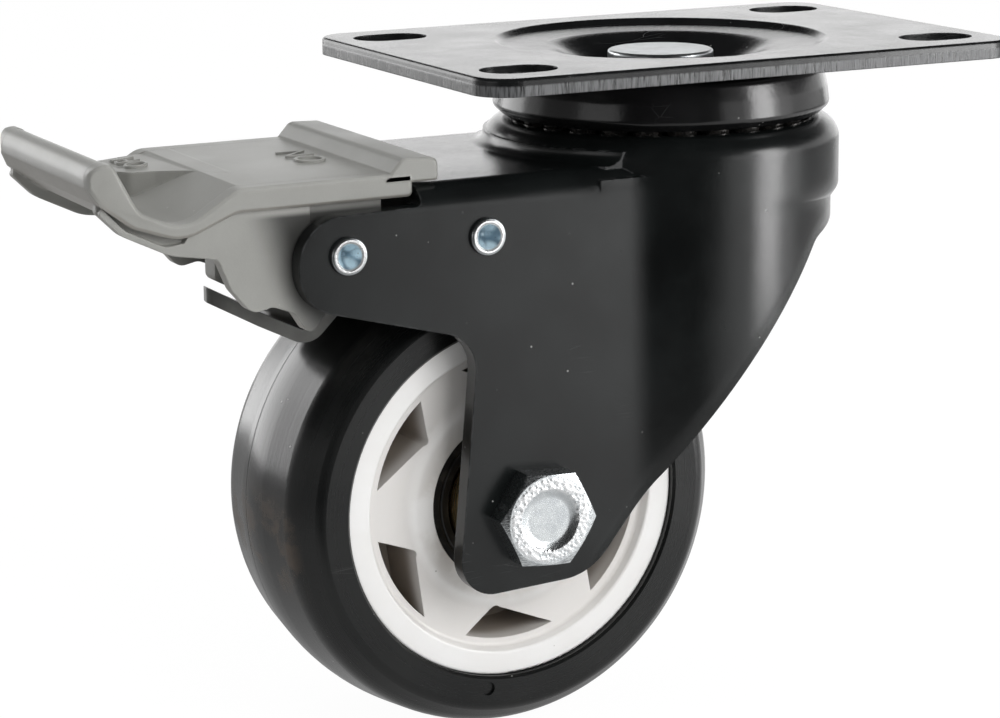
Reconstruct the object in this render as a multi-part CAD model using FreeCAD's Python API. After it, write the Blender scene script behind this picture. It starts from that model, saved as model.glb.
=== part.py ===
import FreeCAD, Part
import math
import os
from FreeCAD import Vector

# Swivel plate castor with a foot brake, in millimetres.
# Origin: centre of the mounting plate's top face, on the swivel axis.
# +Z is up, X runs along the plate's long side and the wheel trails towards -X.

# Mounting plate
PLATE_LENGTH = 92.0
PLATE_RIM = 6.0
PLATE_THICKNESS = 2.7
PLATE_CORNER_RADIUS = 5.5
PLATE_EDGE_ROLL = 0.5
SLOT_INSET = 9.5
SLOT_LENGTH = 12.0
SLOT_WIDTH = 8.5
DISH_LAND = 2.0
DISH_LEDGE = 0.8
DISH_LEDGE_RUN = 1.4
FUNNEL_INSET = 9.0
FUNNEL_LEDGE = 1.3
FUNNEL_DEPTH = 4.6

# Kingpin and swivel races
KINGPIN_RADIUS = 6.0
KINGPIN_HEAD_RADIUS = 8.35
KINGPIN_HEAD_HEIGHT = 2.8
KINGPIN_SEAT_RADIUS = 9.6
KINGPIN_RIVET_RADIUS = 8.5
KINGPIN_RIVET_HEIGHT = 1.8
BALL_RADIUS = 2.38
BALL_SPACING = 5.2
BALL_TRACK_INSET = 6.55
BALL_PLAY = 0.2
BALL_HEIGHT = -11.2
SMALL_BALL_RADIUS = 1.98
SMALL_BALL_PITCH_RADIUS = 11.5
SMALL_BALL_COUNT = 16
UPPER_CUP_OVERHANG = 0.6
UPPER_CUP_NECK_INSET = 1.1
UPPER_CUP_LIP_INSET = 1.4
UPPER_CUP_LIP_WALL = 0.9
UPPER_CUP_LIP_Z = -11.3
UPPER_CUP_FLOOR = 2.3
UPPER_CUP_TOP_GAP = 0.35
UPPER_CUP_INSET = 1.55
LOWER_CUP_RADIUS = 15.2
LOWER_CUP_FLOOR = 1.6
LOWER_CUP_GAP = 1.1
LOCK_RING_RADIUS = 14.5
LOCK_RING_THICKNESS = 2.0
LOCK_TEETH = 20
LOCK_TOOTH_DEPTH = 2.2
PIN_FIT = 0.05

# Pressed fork: crown, web, arms and legs from one sheet
SHEET = 2.8
CROWN_OVERHANG = 4.75
CROWN_REAR_STEP = 1.7
CROWN_WALL = 2.6
CROWN_TOP = -12.0
CROWN_SHOULDER = 3.6
CROWN_SKIRT_Z = -23.0
CROWN_TAPER = 2.8
CROWN_FLOOR_DROP = 2.0
CROWN_LAND_INSET = 5.0
CROWN_FLOOR_INSET = 2.6
CROWN_BORE_RADIUS = 7.2
CROWN_FILLET = 2.0
CROWN_FILLET_END = 21.2
LEG_WALL_BLEND = 8.0
WHEEL_SIDE_GAP = 4.6
WEB_TOP = -15.9
WEB_BEND = 4.0
WEB_BLEND_DROP = 1.6
WEB_FRONT_X = -52.8
ARM_TIP_X = -72.3
ARM_TIP_RADIUS = 7.0
ARM_TOP_FRONT = -19.2
ARM_TOP_REAR = -18.75
ARM_BOTTOM_FRONT = -32.0
LEG_FRONT_X = -44.0
LEG_FRONT_TOP = -39.5
LEG_FOOT_FRONT_X = -47.8
LEG_FOOT_Z = -79.3
LEG_FOOT_REAR_X = -25.5
LEG_FOOT_REAR_Z = -78.2
LEG_REAR_X = 14.3
LEG_REAR_Z = -29.6
SKIRT_REAR_Z = -25.1

# Axle and wheel
AXLE_X = -34.3
AXLE_Z = -67.5
AXLE_RADIUS = 4.0
AXLE_HOLE_PLAY = 0.1
BOLT_HEX = 14.0
BOLT_HEAD_HEIGHT = 4.0
BOLT_RECESS_RADIUS = 4.9
BOLT_RECESS_DEPTH = 0.6
BOLT_TURN = -4.0
NUT_HEIGHT = 5.2
NUT_COLLAR_HEIGHT = 2.3
NUT_COLLAR_RADIUS = 5.9
BOLT_TIP = 1.0
WHEEL_RADIUS = 37.5
WHEEL_WIDTH = 32.0
TREAD_CROWN = 1.6
TREAD_SHOULDER = 6.0
TREAD_SHOULDER_INSET = 3.8
TREAD_SIDE_RADIUS = 32.6
RIM_RADIUS = 27.67
RIM_INNER_RADIUS = 24.0
RIM_RECESS = 1.2
CORE_WEB_RECESS = 3.0
HUB_BOSS_RADIUS = 16.0
HUB_BOSS_SLOPE = 1.6
HUB_BOSS_RECESS = 2.2
BOND_GAP = 0.03
WINDOW_COUNT = 6
WINDOW_PHASE = 30.0
WINDOW_SPAN = 39.4
WINDOW_OUTER_RADIUS = 22.3
WINDOW_APEX_RADIUS = 17.3
WINDOW_APEX_SKEW = -7.5
WINDOW_APEX_HALF = 2.0
CORE_MIDDLE_WALL = 4.0
GATE_MARK_RADIUS = 1.1
GATE_MARK_DEPTH = 0.5
GATE_MARK_AT = 29.6
GATE_MARK_ANGLE = -100.0
BEARING_RADIUS = 13.0
BEARING_WIDTH = 7.0
BEARING_WALL = 2.4
SEAL_THICKNESS = 1.0
SEAL_GROOVE = 0.25
SEAL_PLAY = 0.3
CONE_RADIUS = 10.2
CONE_NECK_RADIUS = 7.8
SLEEVE_RADIUS = 6.5

# Brake rivets, sleeve and leaf
PEDAL_PIVOT_X = -64.7
PEDAL_PIVOT_Z = -24.9
LEAF_PIVOT_X = -42.4
LEAF_PIVOT_Z = -24.1
RIVET_RADIUS = 2.3
RIVET_HEAD_RADIUS = 2.8
RIVET_HEAD_HEIGHT = 0.8
RIVET_HOLLOW_RADIUS = 1.9
RIVET_HOLLOW_DEPTH = 2.4
SLEEVE_WALL = 0.65
LEAF_THICKNESS = 2.0
LEAF_FIT = 0.06
LEAF_WIDTH = 16.0
LEAF_TONGUE_WIDTH = 12.0
LEAF_TIP_SKEW = 6.0
LEAF_TIP_X = -81.0
LEAF_TIP_Z = -31.6
LEAF_BELLY_SETBACK = 22.2
LEAF_RISE = 44.5
LEAF_FALL = 30.0
LEAF_TONGUE_Z = -27.5
LEAF_TONGUE_END_X = -11.5

# Brake pedal
PEDAL_OVERHANG = 0.7
PEDAL_SIDE_PLAY = 0.4
PEDAL_WALL = 2.4
PEDAL_RIB = 4.0
FAR_SKIRT_SETBACK = 3.2
LIP_CORNER_RADIUS = 4.5
LIP_FRONT_X = -102.4
DECK_TOP = -14.1
DECK_BOTTOM = -17.6
DECK_REAR_GAP = 0.4
HUMP_UNDER_GAP = 0.4
HUMP_HEIGHT = 2.4
HUMP_REAR_X = -49.1
SCOOP_RIM = 3.0
SCOOP_DEPTH = 1.3
PEDAL_HUB_RADIUS = 4.6
GROOVE_DEPTH = 1.5
GROOVE_BEAD = 1.1


def ring_face(corners, place):
    """Closed outline from (a, b, corner radius) rows, each corner rounded by a tangent arc."""
    count = len(corners)
    starts = []
    ends = []
    middles = []
    for index, (a, b, radius) in enumerate(corners):
        here = Vector(a, b, 0)
        before = Vector(corners[index - 1][0], corners[index - 1][1], 0) - here
        after = Vector(corners[(index + 1) % count][0], corners[(index + 1) % count][1], 0) - here
        before.normalize()
        after.normalize()
        half = before.getAngle(after) / 2
        reach = radius / math.tan(half) if radius > 0 else 0
        starts.append(here + before * reach)
        ends.append(here + after * reach)
        bisector = before + after
        if radius > 0:
            bisector.normalize()
            centre = here + bisector * (radius / math.sin(half))
            middles.append(centre - bisector * radius)
        else:
            middles.append(here)
    edges = []
    for index in range(count):
        if corners[index][2] > 0:
            arc = Part.Arc(place(starts[index]), place(middles[index]), place(ends[index]))
            edges.append(arc.toShape())
        following = starts[(index + 1) % count]
        if (following - ends[index]).Length > 1e-6:
            edges.append(Part.makeLine(place(ends[index]), place(following)))
    return Part.Face(Part.Wire(edges))


def plate_xz(corners, y_from, y_to):
    """Prism of an outline drawn in X and Z, between two Y positions."""
    face = ring_face(corners, lambda p: Vector(p.x, y_from, p.y))
    return face.extrude(Vector(0, y_to - y_from, 0))


def plate_xy(corners, z_from, z_to):
    """Prism of an outline drawn in X and Y, between two heights."""
    face = ring_face(corners, lambda p: Vector(p.x, p.y, z_from))
    return face.extrude(Vector(0, 0, z_to - z_from))


def turned_z(corners):
    """Solid turned about the swivel axis from an outline of (radius, height, corner radius)."""
    face = ring_face(corners, lambda p: Vector(p.x, 0, p.y))
    return face.revolve(Vector(0, 0, 0), Vector(0, 0, 1), 360)


def turned_axle(corners):
    """Solid turned about the wheel axis from an outline of (radius, y, corner radius)."""
    face = ring_face(corners, lambda p: Vector(AXLE_X + p.x, p.y, AXLE_Z))
    return face.revolve(Vector(AXLE_X, 0, AXLE_Z), Vector(0, 1, 0), 360)


def cross_bar(radius, x, z, y_from, y_to):
    """Round bar across the fork."""
    return Part.makeCylinder(radius, y_to - y_from, Vector(x, y_from, z), Vector(0, 1, 0))


def fuse(shapes):
    return shapes[0].multiFuse(shapes[1:]).removeSplitter()


def mirrored_y(shape):
    return shape.mirror(Vector(0, 0, 0), Vector(0, 1, 0))


def export(node, shape):
    shape.exportStep("parts/" + node + ".step")


# Widths that grow outwards from the wheel, then heights that stack up from the plate
CHEEK_INNER = WHEEL_WIDTH / 2 + WHEEL_SIDE_GAP
CHEEK_OUTER = CHEEK_INNER + SHEET
CROWN_RADIUS = CHEEK_OUTER + CROWN_OVERHANG
BALL_PITCH_RADIUS = CROWN_RADIUS - BALL_TRACK_INSET
BALL_COUNT = int(2 * math.pi * BALL_PITCH_RADIUS / BALL_SPACING)
UPPER_CUP_RADIUS = CROWN_RADIUS - UPPER_CUP_INSET
DISH_RADIUS = UPPER_CUP_RADIUS - UPPER_CUP_OVERHANG
FUNNEL_RADIUS = DISH_RADIUS - FUNNEL_INSET
FUNNEL_FOOT_RADIUS = KINGPIN_SEAT_RADIUS + 1.6
PLATE_WIDTH = 2 * (DISH_RADIUS + PLATE_RIM)
SEAT_Z = -FUNNEL_DEPTH
CUP_SEAT_Z = SEAT_Z - PLATE_THICKNESS
GROOVE_RADIUS = BALL_RADIUS + BALL_PLAY
SMALL_GROOVE_RADIUS = SMALL_BALL_RADIUS + BALL_PLAY
CROWN_FLOOR_Z = CROWN_TOP - CROWN_FLOOR_DROP
CROWN_UNDER_Z = CROWN_FLOOR_Z - SHEET
CROWN_SKIRT_END_Z = CROWN_SKIRT_Z - CROWN_TAPER
SMALL_BALL_Z = CROWN_UNDER_Z - SMALL_GROOVE_RADIUS + 0.5
LOWER_CUP_TOP = CROWN_UNDER_Z - LOWER_CUP_GAP
LOWER_CUP_BOTTOM = SMALL_BALL_Z - SMALL_GROOVE_RADIUS - LOWER_CUP_FLOOR + 0.6
LOCK_RING_BOTTOM = LOWER_CUP_BOTTOM - LOCK_RING_THICKNESS
RIM_FACE = WHEEL_WIDTH / 2 - RIM_RECESS
WEB_FACE = WHEEL_WIDTH / 2 - CORE_WEB_RECESS
BOSS_FACE = WHEEL_WIDTH / 2 - HUB_BOSS_RECESS
DECK_REAR_X = WEB_FRONT_X - DECK_REAR_GAP
HUMP_BOTTOM = WEB_TOP + HUMP_UNDER_GAP
PEDAL_BODY_HALF = CHEEK_INNER - PEDAL_SIDE_PLAY
LEAF_SLEEVE_RADIUS = RIVET_RADIUS + PIN_FIT + SLEEVE_WALL


def top_plate():
    """Rolled steel plate with four slots and a pressed dish that carries the kingpin."""
    half_x = PLATE_LENGTH / 2
    half_y = PLATE_WIDTH / 2
    corner = PLATE_CORNER_RADIUS
    outline = [(half_x, half_y, corner), (-half_x, half_y, corner),
               (-half_x, -half_y, corner), (half_x, -half_y, corner)]
    plate = plate_xy(outline, -PLATE_THICKNESS, 0)
    rim = [edge for edge in plate.Edges if edge.BoundBox.ZMin > -0.01]
    plate = plate.makeFillet(PLATE_EDGE_ROLL, rim)
    well_radius = DISH_RADIUS + DISH_LAND
    well = Part.makeCylinder(well_radius, 3 * PLATE_THICKNESS, Vector(0, 0, -2 * PLATE_THICKNESS))
    ledge_radius = DISH_RADIUS - DISH_LEDGE_RUN
    top_line = [(well_radius, 0, 0), (DISH_RADIUS, 0, 1.2), (ledge_radius, -DISH_LEDGE, 1.5),
                (FUNNEL_RADIUS, -FUNNEL_LEDGE, 6), (FUNNEL_FOOT_RADIUS, SEAT_Z, 2),
                (KINGPIN_RADIUS + PIN_FIT, SEAT_Z, 0)]
    under_line = [(a, b - PLATE_THICKNESS, radius) for a, b, radius in reversed(top_line)]
    dish = turned_z(top_line + under_line)
    plate = fuse([plate.cut(well), dish])
    for side_x in (-1, 1):
        for side_y in (-1, 1):
            plate = plate.cut(slot(side_x * (half_x - SLOT_INSET), side_y * (half_y - SLOT_INSET)))
    return plate


def slot(x, y):
    half_length = SLOT_LENGTH / 2
    half_width = SLOT_WIDTH / 2
    round_end = half_width - 0.001
    outline = [(x + half_length, y + half_width, round_end), (x - half_length, y + half_width, round_end),
               (x - half_length, y - half_width, round_end), (x + half_length, y - half_width, round_end)]
    return plate_xy(outline, -2 * PLATE_THICKNESS, PLATE_THICKNESS)


def kingpin():
    """Zinc-plated pin with a low head in the dish and a formed rivet head below the lock ring."""
    head_top = SEAT_Z + KINGPIN_HEAD_HEIGHT
    rivet_bottom = LOCK_RING_BOTTOM - KINGPIN_RIVET_HEIGHT
    return turned_z([(0, head_top, 0), (KINGPIN_HEAD_RADIUS, head_top, 0.5),
                     (KINGPIN_HEAD_RADIUS, SEAT_Z, 0), (KINGPIN_RADIUS, SEAT_Z, 0),
                     (KINGPIN_RADIUS, LOCK_RING_BOTTOM, 0), (KINGPIN_RIVET_RADIUS, LOCK_RING_BOTTOM, 0),
                     (KINGPIN_RIVET_RADIUS, rivet_bottom, 1.2), (0, rivet_bottom, 0)])


def groove(pitch_radius, height, radius):
    """Ring that cuts a ball track."""
    return Part.makeTorus(pitch_radius, radius, Vector(0, 0, height))


def upper_race_cup():
    """Bell-shaped race riveted under the plate, with a curled lip that hides the balls."""
    under_ledge = -DISH_LEDGE - PLATE_THICKNESS
    under_funnel = -FUNNEL_LEDGE - PLATE_THICKNESS
    bore = KINGPIN_RADIUS + PIN_FIT
    floor_z = CUP_SEAT_Z - UPPER_CUP_FLOOR
    funnel_lean = (FUNNEL_RADIUS - FUNNEL_FOOT_RADIUS) / (under_funnel - CUP_SEAT_Z)
    lip_outer = UPPER_CUP_RADIUS - UPPER_CUP_LIP_INSET
    lip_inner = lip_outer - UPPER_CUP_LIP_WALL
    outline = [(bore, CUP_SEAT_Z, 0), (FUNNEL_FOOT_RADIUS + UPPER_CUP_TOP_GAP * funnel_lean, CUP_SEAT_Z, 0),
               (FUNNEL_RADIUS, under_funnel - UPPER_CUP_TOP_GAP, 1),
               (UPPER_CUP_RADIUS - UPPER_CUP_NECK_INSET, under_ledge - 0.5, 1),
               (UPPER_CUP_RADIUS - 0.4, -7.0, 4), (UPPER_CUP_RADIUS, -10.0, 1),
               (lip_outer, UPPER_CUP_LIP_Z, 0.4), (lip_inner, UPPER_CUP_LIP_Z, 0.3),
               (lip_inner - 0.5, BALL_HEIGHT + 1, 0), (BALL_PITCH_RADIUS - GROOVE_RADIUS, BALL_HEIGHT + 1, 0),
               (BALL_PITCH_RADIUS - 2 * GROOVE_RADIUS, floor_z, 1), (bore, floor_z, 0)]
    return turned_z(outline).cut(groove(BALL_PITCH_RADIUS, BALL_HEIGHT, GROOVE_RADIUS))


def lower_race_cup():
    """Small cup below the crown that carries the lower ball row."""
    bore = KINGPIN_RADIUS + PIN_FIT
    inner = SMALL_BALL_PITCH_RADIUS - SMALL_GROOVE_RADIUS
    outline = [(bore, SMALL_BALL_Z - 0.9, 0), (inner, SMALL_BALL_Z - 0.9, 0),
               (inner + 0.5, SMALL_BALL_Z - 1.2, 0), (LOWER_CUP_RADIUS - 1.8, SMALL_BALL_Z - 1.2, 0),
               (LOWER_CUP_RADIUS - 1.2, LOWER_CUP_TOP, 0.3), (LOWER_CUP_RADIUS, LOWER_CUP_TOP, 0.4),
               (LOWER_CUP_RADIUS, LOWER_CUP_BOTTOM, 2.2), (bore, LOWER_CUP_BOTTOM, 0)]
    return turned_z(outline).cut(groove(SMALL_BALL_PITCH_RADIUS, SMALL_BALL_Z, SMALL_GROOVE_RADIUS))


def lock_ring():
    """Notched ring that the brake leaf's tongue catches, which stops the swivel."""
    ring = turned_z([(KINGPIN_RADIUS + PIN_FIT, LOWER_CUP_BOTTOM, 0), (LOCK_RING_RADIUS, LOWER_CUP_BOTTOM, 0),
                     (LOCK_RING_RADIUS, LOCK_RING_BOTTOM, 0), (KINGPIN_RADIUS + PIN_FIT, LOCK_RING_BOTTOM, 0)])
    gap = math.pi * LOCK_RING_RADIUS / LOCK_TEETH
    root = LOCK_RING_RADIUS - LOCK_TOOTH_DEPTH
    notch = Part.makeBox(LOCK_TOOTH_DEPTH + 1, gap, LOCK_RING_THICKNESS,
                         Vector(root, -gap / 2, LOCK_RING_BOTTOM))
    notches = []
    for tooth in range(LOCK_TEETH):
        turned = notch.copy()
        turned.rotate(Vector(0, 0, 0), Vector(0, 0, 1), tooth * 360 / LOCK_TEETH)
        notches.append(turned)
    return ring.cut(notches)


def ball_row(radius, pitch_radius, height, count):
    balls = []
    for index in range(count):
        angle = 2 * math.pi * index / count
        centre = Vector(pitch_radius * math.cos(angle), pitch_radius * math.sin(angle), height)
        balls.append(Part.makeSphere(radius, centre))
    return Part.makeCompound(balls)


def crown():
    """Turned crown of the fork: outer skirt, rounded shoulder, ball track and sunk floor."""
    inner = CROWN_RADIUS - CROWN_WALL
    land_radius = BALL_PITCH_RADIUS - CROWN_LAND_INSET
    outline = [(CROWN_RADIUS, CROWN_TOP, CROWN_SHOULDER), (land_radius, CROWN_TOP, 1.0),
               (land_radius - CROWN_FLOOR_INSET, CROWN_FLOOR_Z, 1.0), (CROWN_BORE_RADIUS, CROWN_FLOOR_Z, 0),
               (CROWN_BORE_RADIUS, CROWN_UNDER_Z, 0), (inner, CROWN_UNDER_Z, 1.0),
               (inner, CROWN_SKIRT_END_Z, 0), (CROWN_RADIUS - CROWN_REAR_STEP - 0.2, CROWN_SKIRT_END_Z, 0),
               (CROWN_RADIUS, CROWN_SKIRT_Z, 2.0)]
    body = turned_z(outline)
    body = body.cut(groove(BALL_PITCH_RADIUS, BALL_HEIGHT, GROOVE_RADIUS))
    return body.cut(groove(SMALL_BALL_PITCH_RADIUS, SMALL_BALL_Z, SMALL_GROOVE_RADIUS))


def leg_plan(offset):
    """Plan of the fork wall, flats that blend into a back a little short of round, moved in by an offset."""
    radius = CROWN_RADIUS - offset
    rear = radius - CROWN_REAR_STEP
    flat = CHEEK_OUTER - offset
    blend = LEG_WALL_BLEND + offset
    away = math.sqrt((radius + blend) ** 2 - (flat + blend) ** 2)
    share = radius / (radius + blend)
    join = Vector(-away * share, (flat + blend) * share, 0)
    blend_start = Vector(-away, flat, 0)
    blend_centre = Vector(-away, flat + blend, 0)
    half_way = (join + blend_start) * 0.5 - blend_centre
    half_way.normalize()
    blend_middle = blend_centre + half_way * blend
    side = Vector(0, radius, 0)
    round_middle = join + side
    round_middle.normalize()
    round_middle = round_middle * radius
    front_x = ARM_TIP_X - ARM_TIP_RADIUS
    flip = lambda p: Vector(p.x, -p.y, p.z)
    back = Part.ArcOfEllipse(Part.Ellipse(side, Vector(rear, 0, 0), Vector(0, 0, 0)), 0, math.pi)
    edges = [Part.makeLine(Vector(front_x, flat, 0), blend_start),
             Part.Arc(blend_start, blend_middle, join).toShape(),
             Part.Arc(join, round_middle, side).toShape(),
             back.toShape(),
             Part.Arc(flip(side), flip(round_middle), flip(join)).toShape(),
             Part.Arc(flip(join), flip(blend_middle), flip(blend_start)).toShape(),
             Part.makeLine(flip(blend_start), Vector(front_x, -flat, 0)),
             Part.makeLine(Vector(front_x, -flat, 0), Vector(front_x, flat, 0))]
    return Part.Face(Part.Wire(edges))


def plan_prism(offset, z_from, z_to):
    face = leg_plan(offset)
    face.translate(Vector(0, 0, z_from))
    return face.extrude(Vector(0, 0, z_to - z_from))


def side_outline():
    """Side view of the arms and legs."""
    rear_x = CROWN_RADIUS + SHEET
    return [(rear_x, WEB_TOP + 1, 0), (WEB_FRONT_X, WEB_TOP + 1, 0), (WEB_FRONT_X, ARM_TOP_REAR, 0.8),
            (ARM_TIP_X, ARM_TOP_FRONT, ARM_TIP_RADIUS), (ARM_TIP_X, ARM_BOTTOM_FRONT, ARM_TIP_RADIUS - 0.4),
            (LEG_FRONT_X, LEG_FRONT_TOP, 6.0), (LEG_FOOT_FRONT_X, LEG_FOOT_Z, 5.5),
            (LEG_FOOT_REAR_X, LEG_FOOT_REAR_Z, 10.0), (LEG_REAR_X, LEG_REAR_Z, 4.0),
            (rear_x, SKIRT_REAR_Z, 0)]


def slab(x_from, x_to, half_y, z_from, z_to):
    """Box that spans the fork from side to side."""
    return Part.makeBox(x_to - x_from, 2 * half_y, z_to - z_from, Vector(x_from, -half_y, z_from))


def crown_fillet():
    """Concave fillet where the web's flat top meets the crown's skirt."""
    inner = CROWN_RADIUS - SHEET / 2
    outer = CROWN_RADIUS + CROWN_FILLET
    foot_z = WEB_TOP - SHEET / 2
    ring = turned_z([(inner, WEB_TOP + CROWN_FILLET, 0), (CROWN_RADIUS, WEB_TOP + CROWN_FILLET, 0),
                     (CROWN_RADIUS + 0.05, WEB_TOP + 0.05, CROWN_FILLET - 0.2), (outer, WEB_TOP, 0),
                     (outer, foot_z, 0), (inner, foot_z, 0)])
    return ring.common(slab(-outer - 1, 0, CROWN_FILLET_END, foot_z - 1, WEB_TOP + 2 * CROWN_FILLET))


def fork():
    """Crown, web, arms and legs pressed from one sheet."""
    deep = LEG_FOOT_Z - SHEET
    bend_z = WEB_TOP - WEB_BEND
    web_under = WEB_TOP - SHEET
    half_span = CROWN_RADIUS + SHEET
    outer = plan_prism(0, deep, bend_z)
    hollow = plan_prism(SHEET, deep, web_under)
    channel_rows = [(-CHEEK_OUTER, WEB_TOP, WEB_BEND), (CHEEK_OUTER, WEB_TOP, WEB_BEND),
                    (CHEEK_OUTER, bend_z - WEB_BEND, 0), (-CHEEK_OUTER, bend_z - WEB_BEND, 0)]
    channel_face = ring_face(channel_rows, lambda p: Vector(ARM_TIP_X, p.x, p.y))
    channel = channel_face.extrude(Vector(-ARM_TIP_X, 0, 0))
    blend_top = plan_prism(0, bend_z, WEB_TOP - WEB_BLEND_DROP)
    blend_top = blend_top.common(slab(-CHEEK_OUTER, half_span, half_span, bend_z, WEB_TOP))
    walls = fuse([outer, channel, blend_top]).cut(hollow)
    walls = walls.common(plate_xz(side_outline(), -half_span, half_span))
    walls = walls.cut(Part.makeCylinder(CROWN_RADIUS - SHEET / 2, half_span, Vector(0, 0, CROWN_SKIRT_Z)))
    body = fuse([walls, crown(), crown_fillet()])
    body = body.cut(slab(-half_span, 0, CHEEK_INNER, deep, web_under))
    for x, z, radius in ((PEDAL_PIVOT_X, PEDAL_PIVOT_Z, RIVET_RADIUS + PIN_FIT),
                         (LEAF_PIVOT_X, LEAF_PIVOT_Z, RIVET_RADIUS + PIN_FIT),
                         (AXLE_X, AXLE_Z, AXLE_RADIUS + AXLE_HOLE_PLAY)):
        body = body.cut(cross_bar(radius, x, z, -half_span, half_span))
    return body


def brake_rivet(x, z):
    """Tubular rivet across both arms, with a coned hollow in each end."""
    face = CHEEK_OUTER + RIVET_HEAD_HEIGHT
    shank = cross_bar(RIVET_RADIUS, x, z, -face, face)
    heads = [cross_bar(RIVET_HEAD_RADIUS, x, z, CHEEK_OUTER, face),
             cross_bar(RIVET_HEAD_RADIUS, x, z, -face, -CHEEK_OUTER)]
    body = fuse([shank] + heads)
    rims = [edge for edge in body.Edges
            if abs(abs(edge.CenterOfMass.y) - face) < 0.01 and edge.Length > 2]
    body = body.makeFillet(0.3, rims)
    for side in (-1, 1):
        cone = Part.makeCone(RIVET_HOLLOW_RADIUS, 0.3, RIVET_HOLLOW_DEPTH,
                             Vector(x, side * face, z), Vector(0, -side, 0))
        body = body.cut(cone)
    return body


def hexagon(y_from, y_to, crown_side):
    """Hexagon across the axle with its corners chamfered at one end."""
    corner = BOLT_HEX / math.sqrt(3)
    points = []
    for index in range(7):
        angle = math.radians(60 * index + BOLT_TURN)
        points.append(Vector(AXLE_X + corner * math.cos(angle), y_from, AXLE_Z + corner * math.sin(angle)))
    prism = Part.Face(Part.makePolygon(points)).extrude(Vector(0, y_to - y_from, 0))
    drop = (corner - BOLT_HEX / 2) / math.sqrt(3)
    face = y_from if crown_side < 0 else y_to
    back = y_to if crown_side < 0 else y_from
    inner_corner = face - crown_side * drop
    limit = turned_axle([(0, face, 0), (BOLT_HEX / 2 - 0.2, face, 0), (corner + 0.05, inner_corner, 0),
                         (corner + 0.05, back, 0), (0, back, 0)])
    return prism.common(limit)


def axle_bolt():
    """Hexagon bolt with a round sunk panel in its head."""
    head = hexagon(-CHEEK_OUTER - BOLT_HEAD_HEIGHT, -CHEEK_OUTER, -1)
    shank_end = CHEEK_OUTER + NUT_HEIGHT + NUT_COLLAR_HEIGHT + BOLT_TIP
    shank = turned_axle([(0, -CHEEK_OUTER - 0.5, 0), (AXLE_RADIUS, -CHEEK_OUTER - 0.5, 0),
                         (AXLE_RADIUS, shank_end, 0.6), (0, shank_end, 0)])
    face = -CHEEK_OUTER - BOLT_HEAD_HEIGHT
    recess = turned_axle([(0, face - 0.1, 0), (BOLT_RECESS_RADIUS + 0.2, face - 0.1, 0),
                          (BOLT_RECESS_RADIUS - 1.2, face + BOLT_RECESS_DEPTH, 1.5), (0, face + BOLT_RECESS_DEPTH, 0)])
    return fuse([head, shank]).cut(recess)


def axle_nut():
    """Locking nut with a round collar."""
    nut = hexagon(CHEEK_OUTER, CHEEK_OUTER + NUT_HEIGHT, 1)
    collar_end = CHEEK_OUTER + NUT_HEIGHT + NUT_COLLAR_HEIGHT
    collar = turned_axle([(0, CHEEK_OUTER, 0), (NUT_COLLAR_RADIUS, CHEEK_OUTER, 0),
                          (NUT_COLLAR_RADIUS, collar_end, 1.0), (0, collar_end, 0)])
    bore = cross_bar(AXLE_RADIUS + PIN_FIT, AXLE_X, AXLE_Z, CHEEK_OUTER - 1, collar_end + 1)
    return fuse([nut, collar]).cut(bore)


def tread():
    """Moulded tyre with a low crown and round shoulders."""
    half = WHEEL_WIDTH / 2
    inner = RIM_RADIUS + BOND_GAP
    edge_radius = WHEEL_RADIUS - TREAD_CROWN
    outline = [(inner, -half + 0.4, 0), (inner + 0.4, -half, 0), (TREAD_SIDE_RADIUS, -half, 2.0),
               (edge_radius, -half + TREAD_SHOULDER_INSET, TREAD_SHOULDER), (WHEEL_RADIUS, 0, 30),
               (edge_radius, half - TREAD_SHOULDER_INSET, TREAD_SHOULDER), (TREAD_SIDE_RADIUS, half, 2.0),
               (inner + 0.4, half, 0), (inner, half - 0.4, 0)]
    angle = math.radians(GATE_MARK_ANGLE)
    mark = cross_bar(GATE_MARK_RADIUS, AXLE_X + GATE_MARK_AT * math.cos(angle),
                     AXLE_Z + GATE_MARK_AT * math.sin(angle), -half, -half + GATE_MARK_DEPTH)
    return turned_axle(outline).cut(mark)


def core_window():
    """Skewed pocket between two spokes, drawn about angle zero: an arc along the rim and a blunt inner corner."""
    def at(radius, degrees):
        angle = math.radians(degrees)
        return Vector(AXLE_X + radius * math.cos(angle), CORE_MIDDLE_WALL / 2, AXLE_Z + radius * math.sin(angle))
    low = at(WINDOW_OUTER_RADIUS, -WINDOW_SPAN / 2)
    high = at(WINDOW_OUTER_RADIUS, WINDOW_SPAN / 2)
    apex_low = at(WINDOW_APEX_RADIUS, WINDOW_APEX_SKEW - WINDOW_APEX_HALF)
    apex_high = at(WINDOW_APEX_RADIUS, WINDOW_APEX_SKEW + WINDOW_APEX_HALF)
    apex = at(WINDOW_APEX_RADIUS * 0.985, WINDOW_APEX_SKEW)
    edges = [Part.Arc(low, at(WINDOW_OUTER_RADIUS, 0), high).toShape(), Part.makeLine(high, apex_high),
             Part.Arc(apex_high, apex, apex_low).toShape(), Part.makeLine(apex_low, low)]
    return Part.Face(Part.Wire(edges)).extrude(Vector(0, WHEEL_WIDTH / 2, 0))


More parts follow.
